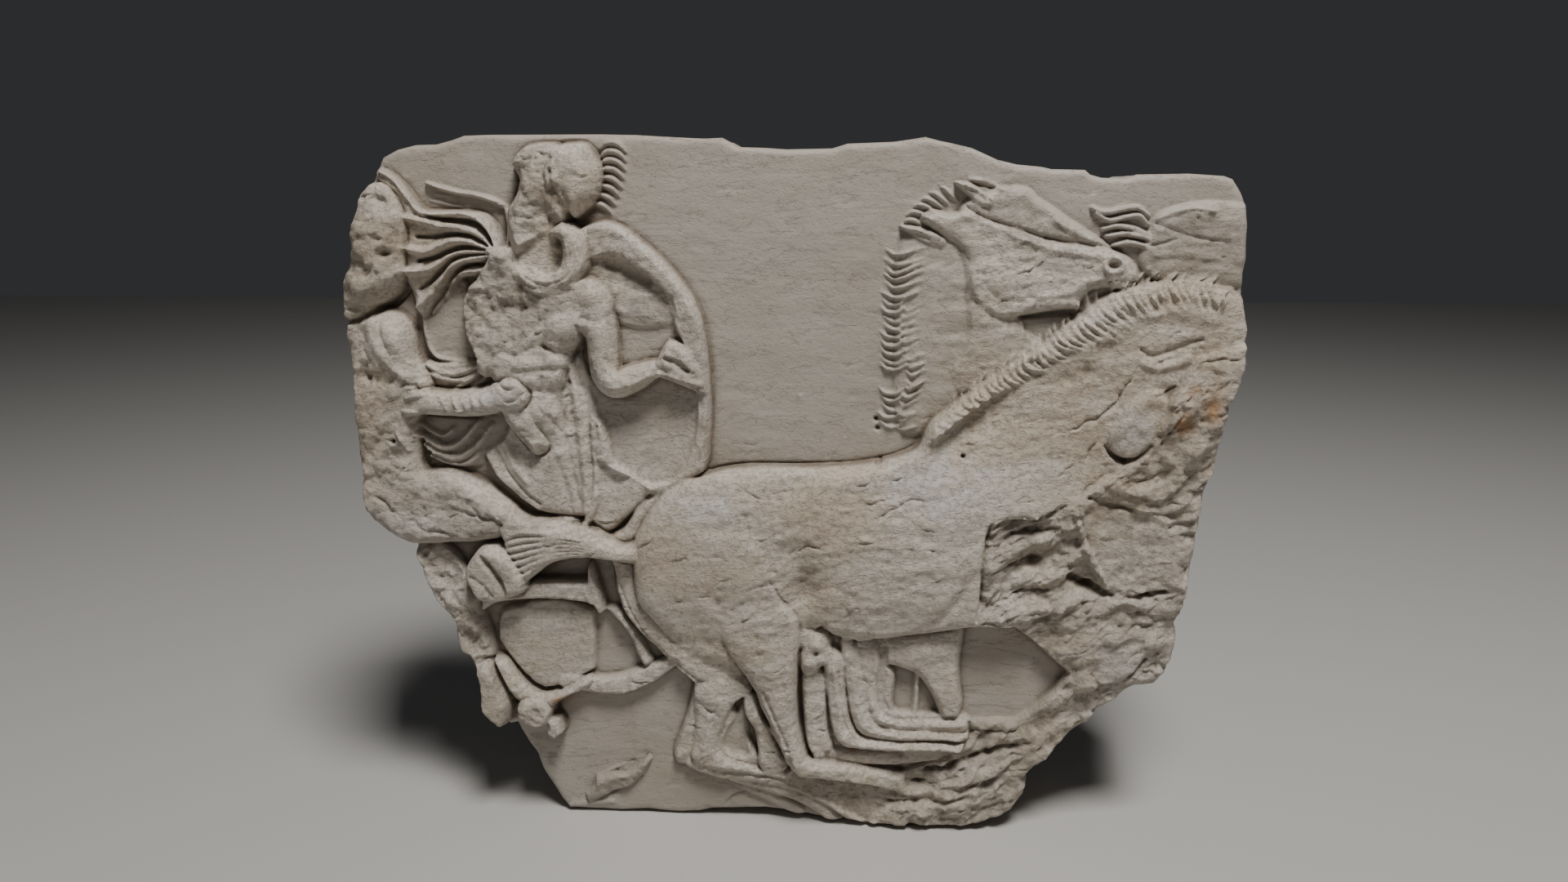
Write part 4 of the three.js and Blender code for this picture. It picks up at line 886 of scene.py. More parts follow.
def carve_shield_arm(face, size):
    relief = size.arm
    face.limb(at(relief, [
        (-266, 292, 20), (-252, 262, 22), (-249, 235, 22), (-248, 205, 21), (-244, 180, 21),
        (-232, 168, 20), (-214, 174, 20), (-195, 182, 17), (-178, 190, 13), (-162, 192, 10)]), cut=4)
    # Shoulder and chest are one, down to the armpit
    face.body([
        (-330, 306), (-300, 306), (-268, 314), (-248, 308), (-234, 290), (-232, 268), (-256, 262),
        (-278, 258), (-310, 262)], relief - 2, 24, cut=0, power=0.6)
    face.swells([(-262, 290, 26, 20, 6), (-248, 238, 16, 30, 4), (-226, 178, 22, 14, 4)])
    face.rolls([
        at(-7, [(-276, 250, 3), (-274, 228, 4), (-276, 205, 4), (-270, 182, 4)]),
        at(-4, [(-240, 206, 5), (-228, 192, 6), (-212, 188, 5)]),
        at(-3, [(-262, 200, 5), (-254, 178, 5)]),
        at(-3, [(-268, 262, 5), (-250, 256, 6), (-232, 264, 5)]),
        at(3, [(-232, 166, 6), (-205, 172, 6), (-180, 184, 5)])], soft=True)
    face.body([
        (-176, 200), (-162, 226), (-150, 230), (-135, 224), (-122, 207), (-113, 190), (-108, 172),
        (-107, 158), (-128, 162), (-160, 174), (-178, 182)], 0.8 * relief, 12, cut=1)
    face.cleave([
        (-176, 202), (-152, 228), (-124, 206), (-106, 160), (-160, 176)
    ], 5, 12, 91, turn=-35, feather=3)
    face.roll(at(-8, [(-160, 206, 4), (-146, 200, 6), (-132, 190, 5)]))
    face.roll(at(5, [(-170, 187, 4), (-146, 180, 4), (-110, 170, 4)]))


def carve_helmet(face, size):
    relief = size.helmet
    for k in range(8):
        x, z = -0.45 * k * k, 488 - 11.3 * k
        face.roll([
            (x - 246, z - 8, 2, 5), (x - 236, z, 4.6, 9), (x - 222, z - 2, 4.4, 8),
            (x - 211, z - 13, 1.6, 3)])
    edge = [(-362, 462), (-330, 488), (-300, 487), (-290, 430), (-296, 378), (-350, 340), (-373, 395)]
    face.body([
        (-355, 440), (-362, 462), (-350, 480), (-330, 488), (-300, 487), (-285, 470), (-290, 430),
        (-286, 400), (-296, 378), (-320, 350), (-350, 335), (-368, 345), (-373, 395), (-362, 418)
    ], 0.8 * relief, 20, cut=3)
    face.body([
        (-308, 470), (-300, 485), (-283, 489), (-262, 487), (-246, 466), (-242, 445), (-247, 421),
        (-261, 402), (-281, 388), (-292, 400), (-298, 412), (-308, 428), (-314, 450)
    ], relief, 30, cut=4, power=0.6)
    face.cleave(edge, 7.5, 27, 95, turn=20, feather=8, stretch=1.1)
    face.cleave(edge, 4, 9, 96, turn=-35, feather=6, stretch=1.1, ledges=0.1)
    face.swells([(-318, 395, 13, 16, -6), (-336, 428, 22, 14, 5), (-352, 372, 12, 22, 4)])
    face.roll(at(-6, [(-304, 452, 3), (-303, 430, 4), (-293, 411, 4), (-284, 390, 3)]), soft=True)


def carve_collar(face, size):
    """The cloak is gathered round the neck in a bundle of folds that opens to the upper left."""
    relief = 1.36 * size.cloak
    face.body([
        (-366, 318), (-350, 300), (-322, 290), (-295, 293), (-275, 305), (-262, 325), (-260, 345),
        (-266, 366), (-282, 384), (-298, 384), (-312, 372), (-330, 356), (-358, 340)
    ], relief, 13, cut=2)

    def sinking(x, z, depth):
        return 0.10 * (-x - 320) - 0.08 * (z - 340)
    face.body([
        (-360, 344), (-354, 328), (-340, 317), (-318, 313), (-302, 320), (-293, 336), (-292, 352),
        (-300, 366), (-312, 372), (-336, 362)], 0.66 * relief, 12, cut=0, extra=sinking)
    face.swells([(-298, 362, 8, 12, -12), (-306, 334, 14, 18, -6)])
    for k in range(4):
        r = 7.0 * k
        rise = 7.5 - 0.7 * k
        face.roll([
            (-362 + 1.0 * r, 320 + 0.5 * r, 2, 2), (-346 + 0.6 * r, 303 + 0.9 * r, 3.6, rise),
            (-320 + 0.1 * r, 294 + 1.05 * r, 4.0, rise), (-294 - 0.3 * r, 298 + 1.0 * r, 4.0, rise),
            (-276 - 0.6 * r, 311 + 0.8 * r, 3.8, rise), (-266 - 0.9 * r, 336 + 0.3 * r, 3.6, rise),
            (-272 - 0.7 * r, 362 - 0.1 * r, 2.8, 4), (-284 - 0.5 * r, 378 - 0.3 * r, 1.8, 2)])


def carve_cloak(face, size):
    """The cloak flies back in long folds that meet behind the shoulder."""
    relief = size.cloak
    ground = 0.58 * relief
    face.body([
        (-376, 352), (-386, 376), (-402, 396), (-430, 401), (-465, 401), (-490, 404), (-506, 426),
        (-524, 446), (-545, 456), (-552, 446), (-530, 400), (-516, 360), (-524, 320), (-512, 290),
        (-504, 262), (-484, 262), (-462, 290), (-440, 310), (-410, 310), (-388, 325)
    ], ground, 12, cut=3)
    folds = [
        (10, [(-386, 352, 4), (-396, 376, 7), (-416, 393, 7), (-440, 397, 6), (-470, 396, 6),
            (-490, 400, 6), (-506, 420, 5), (-522, 440, 4), (-542, 452, 3)]),
        (8, [(-390, 350, 4), (-408, 368, 8), (-432, 377, 9), (-458, 380, 9), (-484, 386, 8),
            (-512, 392, 7)]),
        (9, [(-392, 348, 4), (-416, 358, 8), (-442, 361, 9), (-464, 354, 9), (-484, 346, 9),
            (-516, 352, 8)]),
        (9, [(-394, 346, 4), (-424, 346, 8), (-446, 342, 8), (-462, 332, 9), (-484, 322, 9),
            (-520, 320, 8)]),
        (11, [(-396, 341, 4), (-426, 336, 8), (-446, 328, 9), (-462, 310, 10), (-480, 290, 10),
            (-502, 272, 9)]),
        (7, [(-404, 322, 4), (-434, 318, 7), (-452, 304, 7), (-464, 286, 5)])]
    face.rolls([at(rise, fold) for rise, fold in folds], soft=True)
    face.rolls([[(x, z, 0.34 * half, 2.5) for x, z, half in fold] for _, fold in folds], soft=True)
    slots = [
        (-12, [(-392, 356, 2), (-404, 374, 4), (-418, 384, 5), (-440, 387, 5), (-462, 389, 4),
            (-480, 393, 2)]),
        (-9, [(-398, 354, 2), (-424, 367, 4), (-450, 369, 4), (-474, 366, 4), (-496, 366, 3)]),
        (-9, [(-402, 349, 2), (-430, 352, 4), (-452, 347, 4), (-472, 339, 4), (-496, 334, 3)]),
        (-10, [(-402, 343, 2), (-432, 341, 4), (-450, 335, 4), (-464, 322, 5), (-480, 308, 4),
            (-498, 296, 3)]),
        (-11, [(-402, 330, 2), (-430, 328, 4), (-450, 316, 5), (-462, 298, 5), (-480, 276, 4),
            (-490, 262, 3)])]
    face.rolls([at(depth, slot) for depth, slot in slots])
    face.limb(at(0.36 * relief, [
        (-484, 437, 1.5), (-460, 429, 3), (-440, 424, 3.5), (-415, 420, 3.5), (-395, 414, 4),
        (-374, 404, 4)]), cut=1.5)
    face.limb(at(0.5 * relief, [(-374, 402, 4), (-371, 378, 4), (-374, 352, 4)]), cut=1.5)
    face.rolls([
        at(3, [(-482, 414, 2), (-460, 409, 3), (-438, 405, 2)]),
        at(2.5, [(-472, 422, 2), (-450, 418, 2)])], soft=True)
    face.swell(-386, 344, 10, 9, 10)


def carve_broken_chest(face, size):
    area = [
        (-436, 232), (-438, 262), (-432, 296), (-414, 314), (-400, 334), (-388, 352), (-364, 352),
        (-352, 322), (-340, 300), (-325, 288), (-300, 296), (-290, 280), (-305, 262), (-330, 245),
        (-350, 228), (-372, 222), (-392, 205), (-402, 178), (-420, 182), (-424, 206)]
    face.body(area, size.torso - 1, 12, cut=0)
    face.cleave(area, 7, 25, 101, turn=-20, feather=8, stretch=1.2)
    face.cleave(area, 4, 9, 102, turn=35, feather=6, stretch=1.1, ledges=0.1)


def carve_side_field(face, size):
    """The sunk field left of the chest, and the folds below it."""
    face.body([
        (-500, 300), (-470, 296), (-450, 310), (-434, 300), (-436, 240), (-424, 206), (-430, 196),
        (-470, 197), (-488, 205), (-497, 230), (-499, 260)], 6, 5, cut=0)
    face.roll(at(9, [
        (-499, 285, 4), (-499, 250, 4), (-496, 222, 4), (-486, 203, 4), (-465, 197, 4), (-440, 196, 4),
        (-422, 196, 4)]))
    relief = 0.5 * size.cloak
    face.body([
        (-500, 196), (-480, 196), (-440, 196), (-418, 200), (-402, 176), (-420, 160), (-500, 162)
    ], relief, 6, cut=0)
    face.rolls([
        at(6, [(-496, 193, 4), (-480, 184, 4), (-460, 180, 4), (-440, 185, 4), (-420, 193, 4)]),
        at(6, [(-490, 180, 4), (-470, 173, 4), (-450, 171, 4), (-430, 176, 4)]),
        at(6, [(-456, 160, 4), (-440, 169, 4), (-420, 186, 4)]),
        at(5, [(-440, 158, 4), (-422, 168, 4), (-408, 182, 4)])])


def carve_driver(face, size):
    """Head and body of the driver are worn to rough lumps, with a few folds left on the chest."""
    relief = size.driver
    face.body([
        (-614, 255), (-580, 272), (-556, 272), (-530, 264), (-516, 252), (-508, 235), (-507, 215),
        (-500, 195), (-492, 180), (-488, 160), (-505, 120), (-512, 80), (-508, 45), (-470, 45),
        (-425, 25), (-395, 5), (-360, -20), (-300, -22), (-250, -45), (-300, -30), (-380, -50),
        (-430, -62), (-480, -65), (-540, -66), (-590, -30), (-606, 0), (-606, 60), (-604, 110),
        (-606, 180)], relief - 2, 24, cut=2)
    face.swells([(-536, 225, 34, 46, 9), (-598, 228, 28, 44, -14)])
    lump = [
        (-594, 335), (-590, 385), (-578, 418), (-556, 438), (-530, 430), (-512, 400), (-509, 372),
        (-513, 345), (-516, 315), (-524, 294), (-540, 280), (-558, 268), (-582, 256), (-610, 258),
        (-610, 304)]
    face.body(lump, relief + 3, 30, cut=4)
    face.swells([
        (-546, 356, 26, 30, 8), (-572, 300, 26, 30, 5), (-530, 410, 16, 16, -7), (-534, 345, 8, 7, -14),
        (-556, 318, 12, 8, -7)])
    face.cleave(lump, 8, 32, 111, turn=50, feather=12, stretch=1.1)
    face.cleave(lump, 4, 10, 112, turn=-20, feather=8, stretch=1.1, ledges=0.1)
    face.roll([
        (-520, 292, 4, -8), (-538, 277, 6, -12), (-558, 266, 7, -13), (-584, 254, 6, -11),
        (-606, 256, 4, -6)])
    face.rolls([
        at(3, [(-562, 262, 7), (-560, 236, 10), (-546, 208, 10), (-530, 190, 7)]),
        at(3, [(-534, 256, 6), (-528, 236, 9), (-520, 212, 9), (-512, 196, 6)]),
        at(-3, [(-548, 256, 3), (-545, 236, 5), (-534, 210, 5)]),
        at(-3, [(-580, 256, 4), (-580, 230, 6), (-566, 200, 6)])], soft=True)
    side = [
        (-606, 200), (-570, 205), (-530, 190), (-500, 190), (-505, 140), (-515, 60), (-560, 20),
        (-606, 20)]
    face.cleave(side, 6, 26, 113, turn=65, feather=10, stretch=1.3)
    face.cleave(side, 3.2, 10, 115, turn=30, feather=8, stretch=1.2)
    face.cleave([(-606, 255), (-575, 250), (-560, 160), (-606, 150)], 6, 17, 114, turn=75, stretch=1.5)
    face.swells([(-556, 172, 26, 14, -8), (-520, 204, 14, 14, -5)])
    face.cracks([
        [(-530, 158), (-518, 170), (-504, 168), (-494, 152)],
        [(-545, 140), (-528, 148), (-508, 142)],
        [(-520, 190), (-504, 184), (-492, 172)]], 4, 6, seed=60)


def carve_deep_folds(face, size):
    """A deep hollow below the forearm, with hanging folds in it."""
    face.body([
        (-512, 118), (-480, 122), (-440, 120), (-400, 126), (-384, 118), (-386, 100), (-402, 80),
        (-424, 62), (-432, 48), (-470, 46), (-496, 52), (-512, 78)], 7, 10, cut=0)
    face.rolls([
        at(11, [(-514, 94, 5), (-500, 84, 7), (-482, 74, 7), (-462, 80, 7), (-444, 96, 6),
            (-430, 112, 5)]),
        at(10, [(-508, 78, 5), (-490, 66, 6), (-466, 59, 7), (-446, 68, 6), (-426, 88, 6),
            (-412, 108, 5)]),
        at(8, [(-500, 62, 4), (-478, 52, 5), (-452, 50, 6), (-434, 62, 5)]),
        at(8, [(-512, 108, 4), (-498, 98, 5), (-480, 92, 5), (-466, 102, 4)])], soft=True)
    face.rolls([
        at(3, [(-504, 86, 2), (-482, 75, 2), (-462, 81, 2), (-446, 95, 2)]),
        at(3, [(-494, 68, 2), (-466, 60, 2), (-446, 69, 2), (-428, 86, 2)])], soft=True)
    for k in range(4):
        x, z = -536 + 4 * k, 102 - 9 * k
        face.roll(at(4, [(x, z, 2), (x + 8, z - 10, 2.4), (x + 20, z - 14, 2.4), (x + 28, z - 8, 2)]))


def carve_forearm(face, size):
    relief = size.forearm
    face.limb([
        (-528, 138, 16, relief - 14), (-500, 142, 20, relief - 8), (-470, 140, 20, relief - 5),
        (-440, 140, 21, relief - 3), (-410, 145, 21, relief - 1), (-388, 152, 21, relief),
        (-368, 154, 21, relief)], cut=7, full=2.4)
    face.body([
        (-390, 160), (-384, 176), (-366, 178), (-350, 168), (-346, 154), (-352, 142), (-368, 138),
        (-386, 142)], relief + 1, 12, cut=4)
    for x, reach, rise in ((-466, 10, 3), (-449, 14, 4), (-436, 12, 3), (-421, 15, 4.5), (-407, 9, 3)):
        face.roll([
            (x - 9, 146 + reach, 2.4, 1.5), (x, 147, 3.6, rise), (x + 7, 144 - reach, 2.6, 2)
        ], soft=True)
    face.rolls([
        at(4.5, [(-524, 132, 3), (-500, 128, 4), (-470, 128, 4), (-440, 132, 4)]),
        at(4, [(-518, 150, 3), (-490, 156, 4), (-460, 152, 3)]),
        at(-4, [(-352, 160, 3), (-362, 150, 3), (-376, 148, 3)]),
        at(-4, [(-384, 170, 3), (-372, 164, 3), (-360, 168, 3)])])
    stump = 0.83 * relief
    face.limb(at(stump, [(-370, 128, 20), (-356, 106, 18), (-341, 84, 15)]), cut=5, full=2.6)
    face.cleave([
        (-384, 112), (-340, 112), (-322, 84), (-340, 66), (-362, 70)], 4, 11, 117, turn=-50, feather=5)
    face.swell(-334, 76, 11, 9, -10)


def carve_left_side(face, size):
    """The sloping broken mass above the tail, and the crumbled strip below it."""
    mass = [
        (-604, 40), (-530, 60), (-470, 40), (-400, 0), (-300, -24), (-380, -50), (-430, -62),
        (-540, -70), (-604, -20)]
    face.cleave(mass, 4.2, 32, 121, turn=-22, feather=14, stretch=1.5, ledges=0.5)
    face.cleave(mass, 2.2, 10, 125, turn=-30, feather=10, stretch=1.4)
    face.cracks([
        [(-440, -5), (-425, -20), (-402, -26), (-384, -44)],
        [(-420, 10), (-404, -2), (-398, -22)],
        [(-520, -30), (-500, -42), (-478, -44), (-450, -52)],
        [(-580, 10), (-560, 2), (-548, -14)]], 4, 5, seed=70)
    strip = [
        (-540, -76), (-500, -64), (-478, -76), (-462, -100), (-450, -125), (-438, -146), (-440, -165),
        (-426, -215), (-428, -240), (-460, -256), (-492, -200), (-511, -160), (-534, -100)]
    face.body(strip, 0.66 * size.driver, 16, cut=2)
    face.body([
        (-533, -68), (-505, -62), (-482, -76), (-464, -100), (-470, -128), (-496, -124), (-514, -98)
    ], 14, 10, cut=0)
    face.cleave(strip, 10, 24, 123, turn=-62, feather=5, stretch=1.4, ledges=0.6)
    face.cleave(strip, 4.5, 9, 124, turn=-40, feather=4, stretch=1.2)


def carve_broken_right(face, size):
    """The shattered lower right: the chest is torn off and its ledges climb to the right."""
    area = [
        (272, -20), (300, -4), (340, -8), (380, 12), (420, 42), (450, 60), (480, 110), (500, 150),
        (540, 215), (612, 236), (612, 150), (600, 90), (590, 30), (580, -60), (570, -148), (562, -215),
        (542, -262), (494, -278), (434, -331), (384, -391), (364, -426), (346, -471), (290, -498),
        (110, -498), (128, -470), (176, -440), (168, -405), (240, -372), (262, -345), (262, -318),
        (330, -315), (350, -300), (386, -262), (398, -240), (352, -198), (318, -168), (272, -163),
        (266, -120)]
    w, depth = face.depth_inside(area, sharp=True)
    x, z = face.X[w], face.Z[w]
    mask = ease(depth / 6)
    low = size.broken - 0.05 * (x - 300) + 0.055 * (z + 100)
    low = np.where(z < -300, 0.5 * size.broken + 0.015 * (x - 200), low)
    low = low + 9 * roughness(x, z, 110, 137, 2) + 9 * roughness(x / 1.6, z, 46, 140, 2)
    face.H[w] += (low - face.H[w]) * mask
    face.broken[w] = np.maximum(face.broken[w], mask)
    # Great flakes first: dark hollows under them, smoother slopes above
    face.rolls([
        [(272, -112, 7, 0), (300, -92, 18, -5), (350, -66, 26, -7), (392, -52, 14, -3)],
        [(276, -150, 6, 0), (330, -122, 14, -2), (376, -112, 15, -5), (420, -104, 11, -9)],
        [(282, -44, 4, 0), (310, -34, 9, -4), (352, -24, 10, -6), (384, -34, 8, -4)],
        [(180, -404, 4, 0), (222, -398, 8, -9), (256, -384, 9, -11), (330, -356, 7, -6),
            (372, -342, 4, 0)],
        [(330, -392, 4, 0), (300, -412, 8, -6), (240, -424, 9, -7), (190, -420, 5, -4)],
        [(150, -452, 4, -3), (200, -446, 8, -7), (262, -438, 8, -6), (310, -430, 5, 0)]], soft=True)
    face.rolls([
        [(300, -62, 12, 2), (340, -44, 14, 4), (380, -28, 12, 3)],
        [(320, -104, 12, 2), (350, -96, 14, 4), (392, -84, 12, 3)],
        [(300, -152, 10, 4), (360, -138, 16, 6), (430, -128, 16, 6), (500, -132, 14, 4)],
        [(400, -270, 10, 5), (440, -250, 12, 6), (500, -246, 12, 5), (530, -236, 8, 3)],
        [(190, -432, 10, 5), (250, -418, 12, 6), (330, -376, 12, 6), (400, -310, 12, 5)],
        [(520, 40, 14, 5), (552, 100, 18, 7), (582, 170, 14, 5)]], soft=True)
    face.cleave(area, 7.5, 30, 131, turn=28, feather=5, stretch=1.4, ledges=0.8)
    face.cleave(area, 3.4, 10, 135, turn=46, feather=4, stretch=1.2)
    face.cleave([
        (272, -10), (400, 0), (440, -100), (420, -150), (272, -160)
    ], 6, 21, 136, turn=32, feather=5, ledges=0.9)
    face.cleave([
        (500, 150), (612, 230), (600, 60), (560, -60), (520, 60)], 4, 16, 138, turn=62, stretch=1.3)
    face.cleave([
        (150, -400), (262, -380), (350, -430), (300, -490), (130, -490)
    ], 4, 16, 139, turn=-4, ledges=0.6)


def carve_right_details(face, size):
    """A smoother flake with a lit rim, two worn bosses and the longer cracks."""
    relief = 0.86 * size.broken

    def dished(x, z, depth):
        return 5 * ((x - 470) / 70) ** 2 - 0.05 * (z + 50)
    face.body([
        (404, 4), (440, 16), (484, 4), (520, -14), (532, -50), (546, -80), (550, -110), (500, -112),
        (440, -104), (426, -70), (412, -34)], relief - 4, 16, cut=0, sharp=True, extra=dished)
    face.cleave([(404, 4), (484, 8), (532, -40), (550, -110), (440, -104)], 3.4, 15, 141, turn=24)
    face.roll([
        (394, 0, 4, 5), (408, -40, 6, 10), (422, -70, 7, 13), (438, -98, 5, 12), (444, -110, 3, 4)])
    face.roll([(392, -92, 6, -8), (412, -104, 9, -15), (434, -112, 7, -13), (452, -120, 5, -6)])
    face.rolls([
        at(-10, [(474, -122, 5), (500, -116, 7), (524, -112, 5)]),
        at(-8, [(412, 22, 6), (440, 12, 8), (470, 6, 6)])], soft=True)
    face.body([
        (436, -236), (444, -212), (466, -186), (494, -178), (504, -200), (494, -228), (462, -250)
    ], relief - 3, 12, cut=0)
    face.swell(470, -216, 26, 22, 4, turn=45)
    face.roll([
        (430, -236, 4, -3), (448, -254, 6, -6), (480, -244, 6, -6), (506, -214, 5, -4)], soft=True)
    face.body([
        (440, 128), (456, 150), (478, 168), (502, 166), (508, 140), (496, 110), (478, 86), (456, 76),
        (438, 88), (432, 108)], relief + 4, 15, cut=0)
    face.cleave([
        (438, 134), (470, 166), (506, 166), (500, 114), (466, 78), (434, 92)], 4.5, 18, 143, turn=50)
    face.roll([
        (430, 92, 3, -6), (441, 79, 4, -12), (458, 72, 5, -14), (474, 78, 4, -11), (488, 94, 3, -5)])
    face.cracks([
        [(485, 158), (505, 165), (520, 175), (545, 200)],
        [(515, 150), (535, 165), (555, 190)],
        [(540, 205), (570, 212), (600, 218)],
        [(470, 215), (462, 190), (450, 170), (442, 152), (425, 138), (400, 124), (380, 112), (350, 98)],
        [(280, -15), (300, -5), (320, -5), (340, -12), (360, 0), (380, 10), (400, 20), (420, 40),
            (436, 76)],
        [(275, -60), (300, -42), (330, -28), (360, -25), (375, -22), (390, -30)],
        [(272, -95), (300, -80), (335, -70), (360, -75)],
        [(270, -135), (305, -125), (350, -110), (385, -112)],
        [(180, -415), (210, -408), (240, -395), (265, -385), (285, -370), (320, -357), (360, -340)],
        [(250, -345), (275, -335), (300, -337), (322, -335), (345, -322)],
        [(500, 80), (512, 120), (520, 150)],
        [(400, 70), (412, 90), (420, 110)]], 3.0, 6)
    face.swells([(255, -395, 12, 7, -10), (192, -420, 12, 6, -9)])
    face.roll(at(-7, [(280, -14, 2.5), (274, -45, 3), (270, -80, 3), (271, -115, 3), (266, -156, 2.5)]))


def carve_small_marks(face, size):
    """Drilled holes for bronze fittings, and the finer cracks."""
    holes = [
        (124, 121, 3.2), (126, 108, 3.2), (131, 64, 3.2), (125, 62, 2.6), (241, 76, 3.2),
        (-543, 88, 3.2)]
    for x, z, reach in holes:
        face.swell(x, z, reach, reach, -16)
    face.cracks([
        [(20, -58), (35, -48), (55, -58)],
        [(-18, -90), (-10, -115), (0, -135), (12, -155)],
        [(120, -20), (125, -10), (140, 0), (160, 12), (180, 18), (200, 20)],
        [(-125, -295), (-115, -305), (-108, -312), (-103, -308), (-95, -320)],
        [(-60, -440), (-80, -460), (-100, -478)],
        [(-455, -12), (-440, -16), (-420, -20)],
        [(-330, 476), (-315, 472), (-300, 466)],
        [(-555, 55), (-545, 52), (-530, 45), (-505, 42), (-490, 50), (-475, 52)]], 2.4, 5, seed=20)


# From the ground upwards: what comes later lies in front
CARVING = [
    carve_ground, carve_far_head, carve_middle_head, carve_front_head, carve_upright_mane,
    carve_near_neck, carve_slant_mane, carve_rear_horses, carve_inner_legs, carve_near_horse,
    carve_broken_right, carve_right_details, carve_low_remnant, carve_chariot, carve_shield,
    carve_dress, carve_torso, carve_helmet, carve_collar, carve_side_field, carve_cloak,
    carve_broken_chest, carve_shield_arm, carve_driver, carve_deep_folds, carve_forearm,
    carve_left_side, carve_tail, carve_small_marks,
]


def wear_edges(face, size):
    """Rounds the face down along its edge, and returns how deep each grid point lies inside."""
    w, depth = face.depth_inside(SLAB_OUTLINE, margin=40, sharp=True)
    inside = np.full(face.X.shape, -99.0)
    inside[w] = depth
    worn = size.edge_wear + 5 * roughness(face.X, face.Z, 26, 151)
    t = np.clip(inside / worn, 0.0, 1.0)
    face.H -= (1 - np.sqrt(1 - (1 - t) ** 2)) * (face.H + size.edge_wear)
    return inside


def weather(face):
    """Takes the sharpness off every edge, then lays the stone's own unevenness over the face."""
    soft = face.H.copy()
    for axis in (0, 1):
        soft = 0.25 * np.roll(soft, 1, axis) + 0.5 * soft + 0.25 * np.roll(soft, -1, axis)
    face.H = soft
    raised = ease(face.H / 22.0)
    along = (face.X + 0.22 * face.Z) / 2.6
    over = face.Z - 0.22 * face.X * (0.25 + 0.75 * raised)
    over = over + 5 * roughness(face.X, face.Z, 60, 160, 2)
    worn = 0.6 + 0.9 * ease(0.5 + 1.6 * roughness(face.X, face.Z, 130, 159, 2))
    face.H += (0.6 + 2.4 * raised * worn) * roughness(along, over, 30, 161, 3)
    face.H += (0.4 + 1.2 * raised * worn) * roughness(1.8 * along, over, 8.0, 163, 3)
    high = np.clip((face.H - spread(face.H, 7.0, face.step)) / 5.0, 0.0, 1.0)
    nick = np.clip(roughness(face.X, face.Z, 11, 165, 3) - 0.10, 0.0, 1.0)
    face.H -= 7.0 * nick * high
    scratch_bedding(face)
    # Nothing stands out further than the stone reaches: above full, forms only give way softly
    full, give = 53.0, 4.8
    beyond = np.maximum(face.H - full, 0.0)
    face.H += give * (1.0 - np.exp(-beyond / give)) - beyond


def scratch_bedding(face):
    """Short cracks and flakes along the bedding, closer together on the figures."""
    source = np.random.RandomState(167)
    tries, figure_height, ground_height = 520, 14, 6
    for k in range(tries):
        x, z = source.uniform(-590, 590), source.uniform(-480, 480)
        column = int((x - face.xs[0]) / face.step)
        row = int((z - face.zs[0]) / face.step)
        high = face.H[row, column] > figure_height
        length = source.uniform(9, 34) if high else source.uniform(12, 46)
        if face.H[row, column] < ground_height and k % 3:
            continue
        slope = math.radians(source.normal(17 if high else 4, 17 if high else 5))
        dx, dz = 0.5 * length * math.cos(slope), 0.5 * length * math.sin(slope)
        bow = source.uniform(-0.16, 0.16) * length
        deep = 0.6 + 2.2 * source.uniform(0, 1) ** 2 if high else source.uniform(0.4, 1.2)
        points = [(x - dx, z - dz), (x - 0.2 * dz, z + bow), (x + dx, z + dz)]
        face.crack(points, source.uniform(1.6, 3.0), deep, seed=300 + k)
        if high and k % 2 == 0:
            face.swell(x, z + 4 + bow, 0.45 * length, 4, 0.8 * deep, turn=math.degrees(slope))


def spread(values, reach, step):
    """The values evened out over a reach, in sheet units."""
    half = max(1, int(round(reach / step / 1.7)))
    for axis in (0, 1):
        for _ in range(3):
            pad = [(half + 1, half) if a == axis else (0, 0) for a in (0, 1)]
            total = np.cumsum(np.pad(values, pad, mode="edge"), axis=axis)
            count = values.shape[axis]
            ahead = np.take(total, np.arange(2 * half + 1, 2 * half + 1 + count), axis=axis)
            behind = np.take(total, np.arange(0, count), axis=axis)
            values = (ahead - behind) / (2 * half + 1)
    return values


def patches(face, places):
    """A mask of soft ragged patches (x, z, half length, half height)."""
    mask = np.zeros(face.X.shape)
    ragged = 0.45 * roughness(face.X, face.Z, 22, 171, 3)
    for x, z, half_x, half_z in places:
        away = np.hypot((face.X - x) / half_x, (face.Z - z) / half_z)
        mask = np.maximum(mask, ease(1.35 - away + ragged))
    return mask


def surface_masks(face):
    """Masks for the stone's colour and for the painted shade in its hollows, each between 0 and 1 over
    the grid.
    """
    near = face.H - spread(face.H, 7.0, face.step)
    wide = face.H - spread(face.H, 26.0, face.step)
    # How far each point lies below its surroundings, where dust and painted shade darken the colour
    hollow = np.clip(-near / 9.0, 0.0, 1.0) * 0.7 + np.clip(-wide / 26.0, 0.0, 1.0) * 0.6
    ridge = np.clip(near / 7.0, 0.0, 1.0)
    rust = patches(face, [
        (532, 172, 14, 9), (527, 125, 15, 16), (83, -350, 6, 5), (100, -368, 5, 4), (560, 150, 16, 30),
        (-330, -300, 12, 8)])
    pale = patches(face, [
        (210, 30, 90, 60), (462, 110, 26, 34), (470, -215, 34, 42), (-120, 0, 70, 24),
        (-395, 150, 40, 20), (-555, -30, 60, 26)])
    return {"hollow": np.clip(hollow, 0.0, 1.0), "ridge": ridge, "broken": face.broken,
            "rust": rust, "pale": pale, "raised": ease(spread(face.H, 5.0, face.step) / 26.0)}


def outline_flare(x, z, size):
    """How much further the slab's side stands out at the back: the lower breaks slope."""
    low = ease((-20 - z) / 60) * ease((z + 470) / 40)
    least = 1.6
    return least + (UNITS_IN_METRE * size.flare - least) * low


